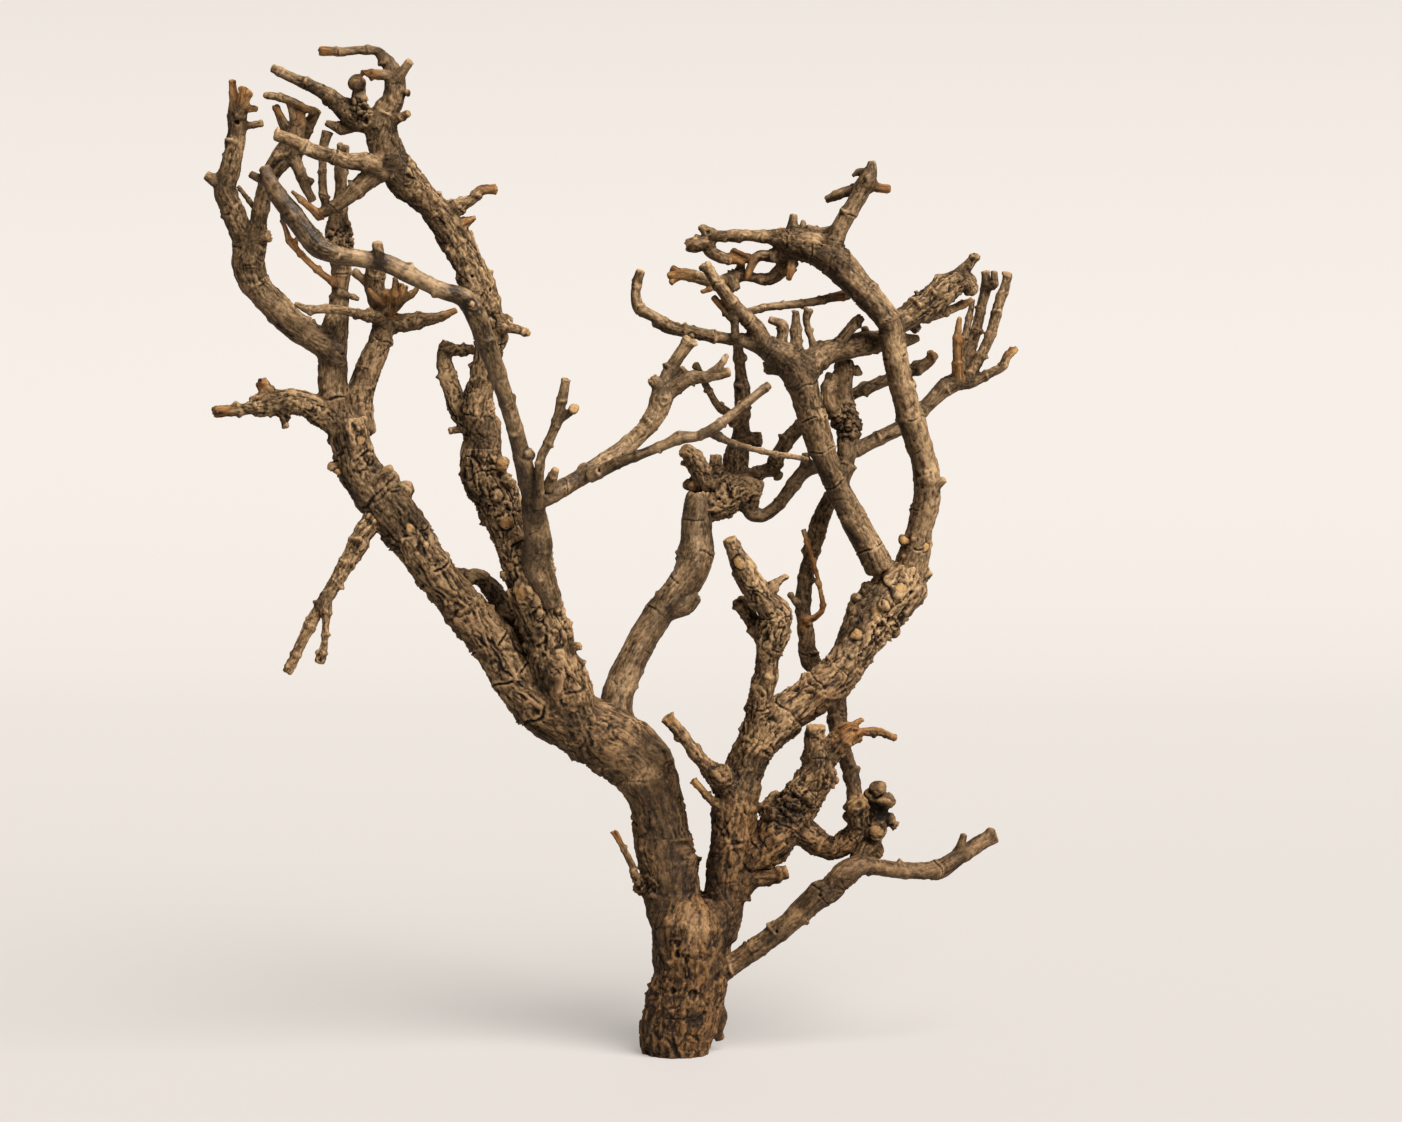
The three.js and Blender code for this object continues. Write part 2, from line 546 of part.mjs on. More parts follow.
    tubes: {
      upper: [
        [-98, 287.5, -47, 3.4], [-104, 289.2, -49, 3], [-109, 289.6, -50, 2.4], [-114, 291.3, -51, 2.3],
        [-120, 293, -52, 2.3], [-126, 296, -53, 2], [-132.5, 298.4, -54, 1.7],
      ],
      lower: [
        [-97.5, 287, -46, 3.8], [-103, 283, -46, 3.2], [-109, 277.6, -45, 2.3], [-114, 274.3, -44, 2],
        [-119.3, 271.6, -43, 1.9],
      ],
      upright: [
        [-115.6, 274.5, -43, 1.5], [-116.6, 280, -43, 1.4], [-116.8, 287, -43, 1.3], [-116.3, 295, -43, 1.6],
        [-115.1, 299.3, -43, 1.8],
      ],
      sliver: [[-119, 273, -44, 1.5], [-123.5, 276.8, -45, 0.9], [-127, 280, -46, 0.5]],
    },
  },
  front_bough: {
    depth: LEFT_DEPTH,
    from: ["limb_b", "bough_b1"],
    tubes: {
      bough: [
        [-47.5, 159, -22, 5], [-46.6, 165, -27, 4.5], [-47.8, 173, -31, 4.1], [-49, 182, -36, 3.5],
        [-51.5, 191.5, -42, 2.9], [-54.7, 204, -48, 2.6], [-58.8, 217, -54, 2.7], [-63.5, 230, -59, 3.3],
        [-66.8, 239, -61, 3.4], [-70.5, 244.8, -62, 3.2], [-78, 247.5, -63, 2.6], [-84, 250.2, -63, 2.6],
        [-90, 253.5, -64, 2.9], [-97, 256.7, -65, 3.1], [-105, 257.9, -66, 2.8], [-112, 259, -67, 2.9],
        [-118, 261.7, -67, 3.6], [-122.7, 267, -67, 3.4], [-127, 273, -67, 3.2], [-131, 278, -66, 3],
        [-134, 283.3, -65, 2.4], [-135.8, 287.5, -64, 1.7],
      ],
      peg: [[-98.6, 257.5, -66, 2.1], [-99, 263.6, -67, 1.5]],
      stub_low: [[-133.5, 282, -64, 1.9], [-140.4, 285.4, -62, 1.1]],
    },
    knobs: [[-49.6, 194, -41, 2]],
  },
  inner_bough: {
    depth: LEFT_DEPTH,
    from: ["front_bough"],
    tubes: {
      bough: [
        [-46.5, 179.5, -35, 3.2], [-40.5, 182.3, -32, 2.9], [-35, 185.5, -30, 2.8], [-28, 190, -27, 2.9],
        [-20, 195.5, -24, 2.8], [-13, 201.5, -21, 2.8], [-8.5, 207.5, -18, 3.2], [-6.6, 212.5, -16, 4],
        [-5.8, 216.5, -15, 3.1], [-4, 221, -14, 2.3], [-1, 226, -14, 2], [1.4, 229.5, -14, 2.1], [3, 231.8, -14, 2.3],
      ],
      right_twig: [
        [-4, 215, -15, 3.3], [2, 218.8, -16, 2.4], [8, 219.4, -17, 1.9], [12, 220.1, -18, 1.5], [15.8, 221.2, -19, 1.6],
      ],
      right_tip: [[9, 220.3, -17, 1.6], [12.4, 223.2, -18, 1.2], [15, 226.8, -18, 0.7]],
      left_knob: [[-7, 216, -16, 2.7], [-9.7, 219, -17, 1.8]],
      peg: [[-44, 183, -36, 2.2], [-40.8, 189.7, -39, 1.1]],
    },
  },
  straight_twig: {
    depth: 1,
    from: ["inner_bough"],
    tubes: {
      twig: [
        [-30, 187, -31, 2.2], [-20, 191.8, -35, 1.8], [-12, 194.8, -36, 1.6], [-5, 197.6, -36, 1.7],
        [-0.5, 199.6, -36, 2.1], [5, 200.2, -36, 1.6], [10.3, 202.6, -36, 2], [14, 205.5, -35, 1.5],
        [21, 211, -34, 1.5], [28.6, 217.1, -33, 1.4],
      ],
      side: [
        [10, 201, -35, 1.7], [15, 198.5, -31, 1.1], [20, 196.8, -27, 1], [28, 194.8, -20, 0.9],
        [36, 193.5, -12, 0.9], [41, 192.6, -7, 0.8],
      ],
    },
  },
  pale_twig: {
    depth: 1,
    from: ["front_bough", "inner_bough"],
    tubes: {
      twig: [
        [-47, 177, -36, 2], [-46.4, 185, -41, 1.5], [-46, 192.5, -43, 1.5], [-43.5, 198, -43, 1.5],
        [-41, 204, -43, 1.7], [-39.2, 211, -43, 1.7], [-37.6, 219, -43, 1.4],
      ],
      side: [[-40.3, 205, -43, 1.4], [-36, 208.3, -44, 1.2], [-35, 209.2, -46, 1.6]],
    },
  },
  limb_m: {
    depth: RIGHT_DEPTH,
    from: ["limb_left", "stem_left", "limb_b"],
    tubes: {
      limb: [
        [-23, 104, 1, 5.6], [-21.5, 112, 3, 5.4], [-19.6, 119.5, 5, 4.8], [-15.8, 128.5, 7, 4.7],
        [-11.6, 136, 9, 4.6], [-6.2, 144, 11, 4.9], [-0.6, 150.5, 13, 5.1], [3, 156.5, 15, 5.4],
        [4.5, 163, 17, 5.6], [4.8, 170, 18, 5], [5.2, 176, 19, 4.6], [5.6, 181, 20, 3.8],
      ],
      shelf: [[-4, 142.5, 9, 2.6], [1, 145.6, 10, 3.6], [4.6, 148.5, 12, 2.6]],
    },
    knobs: [[8.8, 165.5, 17, 2.2]],
  },
  knot_m: {
    depth: RIGHT_DEPTH,
    from: ["limb_m"],
    tubes: {
      knot: [
        [7, 176, 20, 4], [12.5, 179, 22, 5.4], [16.5, 182.5, 23, 6.6], [20.5, 182, 24, 5.6], [24.6, 181.2, 24, 3.9],
      ],
      crest: [[9, 184.5, 22, 4.6], [14, 187, 23, 4.6]],
      cut_shoot: [[8.5, 184.5, 21, 3.8], [6, 189, 18, 3.5], [3.3, 193.5, 15, 2.8], [0.6, 196, 13, 2]],
      broken: [[6, 184.6, 21, 2.6], [2.2, 184.4, 20, 2.1], [0.2, 184, 20, 1]],
      thumb: [[10.6, 188, 22, 2.6], [11, 194, 22, 1.8]],
    },
    knobs: [[22, 177.6, 22, 2.8]],
  },
  knot_shoot: {
    depth: RIGHT_DEPTH,
    from: ["knot_m"],
    tubes: {
      shoot: [
        [17, 187, 24, 4], [17.6, 193.5, 25, 3.9], [19, 199, 25, 2.8], [19.4, 206, 24, 2.4], [19.7, 213, 23, 2.5],
        [19, 220, 22, 1.8], [18.6, 226, 20, 1.6], [18, 231, 18, 1.5],
      ],
      collar: [[20.5, 199, 24, 2.4], [25.8, 199.3, 23, 2]],
      side_twig: [
        [18.5, 203.5, 23, 2], [14.6, 208, 20, 1.5], [11.8, 210, 17, 1.2], [8.4, 215.6, 13, 1.1],
        [6.2, 219.8, 8, 1.1], [4.4, 223.2, 4, 1.1],
      ],
    },
  },
  rear_bough: {
    depth: RIGHT_DEPTH,
    from: ["knot_m", "knot_shoot"],
    tubes: {
      bough: [
        [20, 186, 25, 2.8], [25.5, 188.3, 26, 2.1], [29.4, 190, 27, 2.3], [31.4, 194, 27, 2.3], [35, 199.6, 28, 2.3],
        [40, 204.5, 29, 2.1], [47, 208.3, 29, 2.1], [55, 213.6, 28, 1.9], [62, 216.6, 27, 1.8], [70, 220, 25, 1.9],
        [77, 222.6, 22, 2.2], [81, 225.2, 20, 1.6], [80.5, 228, 19, 1],
      ],
      tip: [[80, 224.5, 21, 1.7], [83, 226.8, 20, 0.8]],
    },
    knobs: [[30.9, 187.8, 27, 2.1]],
  },
  reach_bough: {
    depth: RIGHT_DEPTH,
    from: ["knot_m", "rear_bough"],
    tubes: {
      bough: [
        [21, 177.5, 22, 2.6], [23, 174.6, 21, 2.1], [27, 174.7, 21, 2], [31, 177.6, 22, 2], [35, 182.7, 24, 2.1],
        [39.2, 188, 26, 2.3], [44, 190.6, 27, 2.2], [51, 193, 28, 2.3], [58, 196.5, 29, 2.4], [64, 199.5, 30, 2.3],
        [71, 203, 31, 2.3], [77, 207.5, 32, 2.2], [82, 212.6, 33, 2.4], [86, 216.3, 34, 3.1], [90, 218.3, 34, 2.9],
      ],
      tip: [[40, 189.5, 26, 2], [40.3, 194.8, 25, 1.2]],
    },
  },
  fan: {
    depth: RIGHT_DEPTH,
    from: ["reach_bough"],
    tubes: {
      low: [
        [88.5, 218, 34, 2.9], [93, 217.6, 34, 2.3], [96.5, 219, 34, 1.7], [100.5, 220.7, 33, 1.4], [104, 222.6, 33, 1.3],
        [106, 226.5, 33, 1.4], [109, 229, 33, 0.7],
      ],
      first: [[89.5, 218.5, 33, 2.2], [89.4, 225, 30, 1.3], [89.5, 231.5, 28, 1.5], [90.2, 239, 26, 0.6]],
      second: [[91, 219, 35, 1.7], [91, 227, 37, 1.1], [92.8, 236, 38, 1.2], [94.6, 244.8, 38, 0.7]],
      third: [
        [92, 219, 36, 2.1], [93.4, 227.5, 40, 1.8], [95.6, 234.5, 42, 1.7], [97.5, 243, 43, 1.6], [98.8, 249, 44, 1.7],
        [98.6, 254, 44, 1.2],
      ],
      fourth: [
        [93, 219, 34, 2.2], [96.8, 225.5, 33, 1.6], [100.4, 233.5, 33, 1.6], [102.8, 242.5, 34, 1.7],
        [105, 248.5, 34, 1.5], [106, 253.6, 34, 1.2],
      ],
      knuckle: [[98.9, 249, 43, 1.7], [101.2, 249.5, 41, 1.4], [101.4, 254, 41, 1]],
    },
  },
  bough_c2: {
    depth: RIGHT_DEPTH,
    from: ["limb_c", "rear_stem_j"],
    tubes: {
      bough: [
        [64.5, 157.5, 8, 4.7], [60.4, 165, 6, 4.3], [55.2, 174.5, 4, 4.1], [50.2, 184.5, 2, 3.9], [46.6, 193, 0, 4],
        [44, 201, -1, 4.5], [41.6, 209, -2, 4.5], [39.6, 215.5, -3, 5], [37, 221.5, -4, 5.7], [34.2, 226, -5, 5.2],
      ],
      burl: [[32.5, 223.2, -2, 3], [26.8, 222.3, -1, 2.4]],
    },
  },
  curl_bough: {
    depth: RIGHT_DEPTH,
    from: ["bough_c2"],
    tubes: {
      bough: [
        [34, 225.5, -5, 4.9], [28.5, 228.3, -6, 3.9], [24, 230.4, -6, 3.1], [19.5, 231.5, -6, 2.1], [14.5, 231.9, -6, 1.8],
        [9.5, 232.7, -6, 1.9], [4, 233.8, -6, 1.9], [-1, 234.7, -6, 1.9], [-5, 236, -6, 2.3], [-9, 238.9, -7, 1.7],
        [-13.6, 241.6, -7, 1.9], [-15, 245.5, -8, 1.6], [-14.6, 250, -8, 1.4], [-13.3, 254.2, -9, 1.5],
      ],
      crossing: [
        [27, 229.5, -7, 3.4], [24, 235, -8, 2.9], [21, 238.5, -9, 2.3], [17.5, 242.2, -10, 2.2], [13.5, 247.2, -12, 2],
        [10, 252, -13, 1.9], [7.2, 256.3, -14, 1.7],
      ],
      shoot: [[31.8, 226, -5, 3], [32.3, 231, -5, 1.9], [32.6, 236, -6, 1.6], [28.2, 238.2, -7, 1.1]],
      splinter: [[16, 238.4, -9, 1.3], [13.4, 241.6, -9, 1], [10.1, 245.6, -9, 1.2]],
      upright: [[17.2, 232, -8, 1.4], [17.2, 237, -9, 1.3], [16.6, 242, -10, 1.7]],
      long_arm: [
        [18.4, 239.2, -9, 1.6], [23, 240.9, -5, 1.2], [28, 242.1, -1, 1.2], [35, 242.8, 3, 1.3], [43, 243.9, 6, 1.3],
        [49, 245.2, 7, 1.4], [54.5, 246.3, 7, 1.7],
      ],
    },
  },
  fork_shoot: {
    depth: 1,
    from: ["bough_c2", "curl_bough"],
    tubes: {
      shoot: [[37, 227, -3, 2.6], [37.2, 233, -2, 1.9], [37, 241, -1, 0.9]],
    },
  },
  bough_c2_right: {
    depth: RIGHT_DEPTH,
    from: ["bough_c2", "curl_bough", "fork_shoot"],
    tubes: {
      bough: [
        [38.5, 220.5, -3, 5], [43, 224.6, -1, 4.4], [47.5, 227.3, 1, 3.9], [54, 229, 3, 3.7], [60, 230.4, 5, 3.7],
        [65, 231.2, 7, 3.4], [71, 231.2, 9, 2.6], [77, 232, 10, 0.9],
      ],
      back_twig: [[44, 226.6, -1, 1.9], [42, 232, 0, 1], [40.4, 238, 1, 1.2], [41.2, 241.6, 1, 1.5]],
      broken_arm: [[50.5, 228.5, 1, 2.4], [53.5, 233.5, 0, 1.8], [58.4, 239, 0, 1.5]],
    },
    knobs: [[45, 230, 1, 1.5], [59.6, 234.3, 4, 1.5]],
  },
  bough_c2_back: {
    depth: RIGHT_DEPTH,
    from: ["bough_c2", "bough_c2_right", "reach_bough"],
    tubes: {
      bough: [
        [51.3, 185.5, 5, 3.2], [53.2, 192, 8, 2.9], [53.7, 198, 10, 3.2], [54.3, 203.5, 10, 3.8], [53, 209, 10, 3.2],
        [52.2, 216, 9, 2.9], [52.6, 222, 8, 3.2], [53, 225, 7, 2.6],
      ],
      filler: [[52, 206, 9, 3], [47.6, 212, 6, 2.8], [49.4, 220, 8, 2.6]],
    },
    knobs: [[56.2, 221.7, 8, 1.9], [57, 201, 9, 1.6]],
  },
  bough_c3: {
    depth: RIGHT_DEPTH,
    from: ["limb_c", "bough_c2", "bough_c2_right", "reach_bough"],
    tubes: {
      bough: [
        [73.4, 155.5, 11, 5.5], [76, 163, 9, 4.7], [77.4, 170.5, 7, 3.9], [79.3, 178, 5, 4.2], [79.6, 186, 3, 4.3],
        [77.8, 195, 1, 4], [75, 204, -1, 4.2], [72.2, 213.5, -3, 4], [70.2, 222, -5, 3.9], [68.5, 230, -6, 4.1],
        [68, 235.5, -6, 4.1], [64.6, 241, -6, 4.2], [59.5, 246.8, -5, 4.2], [54.5, 252, -4, 4.7],
        [49.8, 257, -3, 5.4], [45, 260.6, -2, 5.4],
      ],
      peg_right: [[82, 183.5, 1, 1.8], [85.6, 186.3, -1, 1]],
    },
    knobs: [[72.4, 166.2, 6, 1.9]],
  },
  upright_c4: {
    depth: RIGHT_DEPTH,
    from: ["bough_c3"],
    tubes: {
      stem: [
        [48, 260, -4, 3.9], [50.4, 266, -5, 3], [53.4, 271.5, -6, 2.7], [56, 276, -7, 2.6], [58.4, 280.3, -7, 3],
        [60.6, 284, -8, 2.7], [61.6, 287, -8, 1.9], [61.6, 289.5, -8, 1.1],
      ],
      peg_right: [[60.5, 282, -7, 2], [64.5, 280.8, -8, 1.4], [67.6, 280.5, -8, 1.4]],
      slat_left: [[58, 280.8, -5, 2], [52.5, 279.3, -3, 1.6], [46.6, 276.9, -1, 1.2]],
      splinter: [[60, 285.7, -7, 1.7], [57.5, 286, -6, 1.2], [55.4, 284.7, -6, 0.5]],
      bridge: [[50.3, 267.6, -4, 1.4], [45, 267, -3, 1], [40.5, 267.8, -3, 1.4]],
    },
  },
  crown_right: {
    depth: RIGHT_DEPTH,
    from: ["bough_c3", "upright_c4"],
    tubes: {
      hub: [
        [44.5, 261, -2, 5.2], [40, 262.4, -1, 5.2], [35.8, 263, 0, 5], [32, 264.2, 0, 3.2], [28, 264.9, 0, 2],
        [20, 265.4, 0, 1.7], [11.5, 265.2, 0, 1.8], [8.2, 266.4, 0, 1.7], [5.9, 268.6, 0, 1.1],
      ],
      under_arm: [[34.5, 260.5, 1, 3.6], [29, 258.8, 2, 1.9], [24.5, 258.5, 2, 1.6], [21.5, 253, 2, 1.1], [20.8, 251, 2, 0.8]],
      end_bar: [[9.5, 265, 1, 1.9], [9, 260.8, 1, 2], [12.5, 258.4, 2, 1.9], [18, 257.4, 3, 1.5], [20.2, 256.3, 3, 1.3]],
      end_knob: [[8.5, 263.4, 0, 2.3], [4, 262.4, 0, 2.4], [1.6, 262.2, 0, 1.8]],
      slab: [[22.5, 257.5, 3, 1.3], [16, 260.6, 2, 0.9]],
      peg: [[36, 260, 1, 2], [35.5, 255, -1, 1.4], [34.6, 250.8, -3, 0.9]],
      horn: [[36, 266.5, 0, 2], [36.3, 272.4, 0, 1]],
      horn_small: [[39.3, 266.5, 0, 1.8], [39.4, 270.5, 0, 0.6]],
    },
  },
  crown_low_arm: {
    depth: 1,
    from: ["crown_right"],
    tubes: {
      arm: [
        [35.5, 258, 4, 3.2], [32, 254, 6, 2.3], [28.5, 251.3, 7, 2], [24, 251.7, 7, 1.4], [19.5, 252.3, 6, 1.9],
        [15.5, 251, 5, 2.3], [10, 250.3, 3, 1.7], [5, 251.8, 2, 1.9], [0, 252.8, 1, 2], [-4.8, 252.4, 0, 0.8],
      ],
      stub_down: [[16.5, 250, 4, 2.1], [17.7, 247.6, 3, 1.5]],
      post: [[18.6, 253, 6, 1.6], [19.4, 256.6, 7, 1.3]],
      loop: [[10.5, 249.2, 3, 1.1], [9, 248, 2, 0.8], [6, 246.9, 2, 0.7]],
    },
  },
  side_bough_c5: {
    depth: RIGHT_DEPTH,
    from: ["bough_c3", "bough_c2_right"],
    tubes: {
      bough: [
        [68.5, 236, -4, 3.9], [73.5, 239, -3, 4], [78, 242.3, -2, 4.5], [83, 246, -1, 4.6], [88, 249.6, 0, 4.2],
        [91.6, 250.9, 0, 3.2], [93.8, 248.8, 0, 2.3],
      ],
      tip: [[90, 252.5, 0, 2.6], [93, 255.8, -1, 1.6], [96.2, 259.3, -2, 1.1]],
      lower_twig: [
        [78, 238.8, 1, 2.2], [83, 239.4, 3, 1.2], [88, 241.6, 5, 1.3], [92, 243.3, 6, 1.1], [94.4, 244.6, 7, 0.8],
      ],
      heel: [[74, 238, -1, 2.6], [76.6, 234.8, 1, 1.6]],
    },
    knobs: [[76.6, 246.2, -3, 2], [93.6, 248.4, 0, 2.6]],
  },
};

const COLOURS = {
  bark: 0x7b6a52,
  warm: 0x8a6b47,
  dark: 0x5d4d3a,
  pale: 0x9a8768,
};

const TINTS = {
  trunk: "warm",
  stem_left: "warm",
  stem_right: "warm",
  front_bough: "pale",
  inner_bough: "pale",
  straight_twig: "pale",
  pale_twig: "pale",
  rear_stem_j: "dark",
  rear_bough: "dark",
  knot_shoot: "dark",
};

function toMesh(name, solid) {
  const data = solid.getMesh();
  const geometry = new THREE.BufferGeometry();
  const positions = new Float32Array((data.vertProperties.length / data.numProp) * 3);
  for (let i = 0; i < positions.length / 3; i += 1) {
    for (let k = 0; k < 3; k += 1) {
      positions[i * 3 + k] = data.vertProperties[i * data.numProp + k];
    }
  }
  geometry.setAttribute("position", new THREE.BufferAttribute(positions, 3));
  geometry.setIndex(Array.from(data.triVerts));
  geometry.computeVertexNormals();
  const material = new THREE.MeshStandardMaterial({
    color: COLOURS[TINTS[name] ?? "bark"],
    roughness: 0.9,
    metalness: 0,
  });
  const mesh = new THREE.Mesh(geometry, material);
  mesh.name = name;
  return mesh;
}

// The sawn face: all that would reach below the surface is cut away.
const below = new THREE.BoxGeometry(80, 80, 40);
below.translate(0, 0, -20);
const ground = fromGeometry(below);

const group = new THREE.Group();
for (const [name, spec] of Object.entries(LIMBS)) {
  let solid = limb(spec);
  if (name === "trunk") solid = solid.subtract(ground);
  for (const parent of spec.from ?? []) {
    solid = solid.subtract(limb(LIMBS[parent], JOINT_GAP));
  }
  group.add(toMesh(name, largest(solid)));
}

export default group;
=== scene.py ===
"""The looks of a weathered piece of driftwood that stands on its sawn foot.

Every limb is a tapering tube along a route of listed points (x, z, y, r) in
millimetres: x across and z up as seen from the front, y how far behind the foot,
and r the half thickness. The tubes of one part of the piece are joined into one
skin, which is then carved with scales, furrows, rings, cracks, pits and scars.
"""

import logging
import math
from dataclasses import dataclass, field, fields
from enum import Enum

import bpy
import numpy as np
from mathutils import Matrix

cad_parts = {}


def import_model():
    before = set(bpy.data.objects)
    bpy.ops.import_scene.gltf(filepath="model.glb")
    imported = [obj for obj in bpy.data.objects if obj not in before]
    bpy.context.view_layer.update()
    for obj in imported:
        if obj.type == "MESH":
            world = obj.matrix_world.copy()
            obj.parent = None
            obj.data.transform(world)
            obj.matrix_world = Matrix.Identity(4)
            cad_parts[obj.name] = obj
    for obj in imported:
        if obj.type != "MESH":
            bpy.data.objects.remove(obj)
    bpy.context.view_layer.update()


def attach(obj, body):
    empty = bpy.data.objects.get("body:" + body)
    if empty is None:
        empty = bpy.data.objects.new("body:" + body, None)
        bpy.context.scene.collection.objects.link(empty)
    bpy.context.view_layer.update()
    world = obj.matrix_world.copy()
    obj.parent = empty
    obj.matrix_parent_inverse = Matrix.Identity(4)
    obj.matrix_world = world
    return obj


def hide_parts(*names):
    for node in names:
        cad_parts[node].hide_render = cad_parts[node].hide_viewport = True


LOG = logging.getLogger("driftwood")
MM = 0.001
SLIM = 0.78
DEEP = 1.24
NOWHERE = 99.0
NOT_PAST = -9.0
Array = np.ndarray
Fields = dict[str, np.ndarray]
Triple = tuple[float, float, float]
Route = list[tuple[float, float, float, float]]
Socket = bpy.types.NodeSocket


class View:
    """The eye that the routes are drawn from, in millimetres."""

    distance = 1000.0
    height = 212.0
    middle_x = 7.7
    middle_z = 161.1
    foot_shift = 1.5
    route_middle_z = 159.6
    lean_back = 4.0
    lean_height = 90.0
    swing_from = 10.0
    swing_back = 0.16
    frame_width = 455.65
    sight = 1001.3

    @classmethod
    def eye(cls) -> Array:
        """Returns the place of the eye."""
        return np.array([cls.middle_x, -cls.distance, cls.height])

    @classmethod
    def aim(cls) -> Array:
        """Returns the point that the eye looks at."""
        return np.array([cls.middle_x, 0.0, cls.middle_z])

    @classmethod
    def ray(cls, x: float, z: float) -> Array:
        """Gives the line of sight through a point of the routes' plane.

        Args:
            x: Distance across, as in the routes.
            z: Height, as in the routes.

        Returns:
            The vector from the eye to that point.
        """
        forward = cls.aim() - cls.eye()
        forward /= np.linalg.norm(forward)
        across = np.array([1.0, 0.0, 0.0])
        upward = np.cross(across, forward)
        shift = across * (x + cls.foot_shift - cls.middle_x) + upward * (z - cls.route_middle_z)
        return cls.aim() + shift - cls.eye()

    @classmethod
    def place(cls, x: float, z: float, y: float) -> tuple[Array, float]:
        """Puts a point of a route in space.

        Args:
            x: Distance across, as in the routes.
            z: Height, as in the routes.
            y: How far the point lies behind the foot.

        Returns:
            The point, and the scale that its distance gives to what is seen there.
        """
        ray = cls.ray(x, z)
        lean = cls.lean_back * min(1.0, max(0.0, z / cls.lean_height))
        swing = cls.swing_back * max(0.0, x - cls.swing_from)
        scale = (y + lean + swing + cls.distance) / ray[1]
        return cls.eye() + ray * scale, scale


@dataclass(frozen=True)
class Bark:
    """How strongly each kind of relief shows on a limb."""

    plates: float = 1.0
    length: float = 2.0
    furrows: float = 1.0
    swirls: float = 0.5
    rings: float = 0.4
    lumps: float = 1.0
    pits: float = 1.0
    bare: float = 0.0
    dark: float = 0.0


class Grain(Enum):
    """The barks that the limbs of this piece have."""

    FOOT = Bark(plates=0.6, length=1.5, furrows=0.5, swirls=1.0, rings=0.15, pits=1.5)
    SCALY = Bark(plates=0.55, length=2.6, furrows=0.8, rings=0.6)
    SLABBED = Bark(plates=0.65, length=3.6, furrows=1.4, rings=1.1, lumps=0.9)
    KNOTTY = Bark(plates=0.7, length=1.6, furrows=0.8, swirls=1.3, rings=0.5)
    STRANDED = Bark(plates=0.3, length=3.4, furrows=0.9, rings=0.5, lumps=0.7, pits=0.7, bare=0.15)
    LEAN = Bark(plates=0.2, length=3.6, furrows=0.65, swirls=0.4, rings=0.8, lumps=0.8, pits=0.9, bare=0.4)
    SMOOTH = Bark(plates=0.12, furrows=0.5, swirls=0.3, rings=0.5, lumps=0.8, pits=0.8, bare=0.6)
    PALE = Bark(plates=0.05, furrows=0.35, swirls=0.2, rings=0.35, pits=0.7, bare=1.0)
    DARK = Bark(plates=0.4, furrows=0.8, rings=0.5, lumps=0.9, dark=0.6)


class Tip(Enum):
    """How a tube ends."""

    PLAIN = 0
    SAWN = 1
    SNAPPED = 2
    RAW = 3


class Scar(Enum):
    """The single marks on the side that is seen."""

    DISC = 0
    PIT = 1
    SWIRL = 2
    KNOB = 3
    ROUGH = 4
    ORANGE = 5
    SHADE = 6
    WORN = 7
    LIT = 8
    DULL = 9


Row = tuple[Scar, float, float, float]


@dataclass
class Limb:
    """One limb: its tubes, its round knobs and the bark on it."""

    depth: float
    grain: Grain
    tubes: dict[str, Route]
    knobs: Route = field(default_factory=list)


@dataclass(frozen=True)
class Mark:
    """A scar at the place where it is seen."""

    kind: Scar
    x: float
    z: float
    r: float


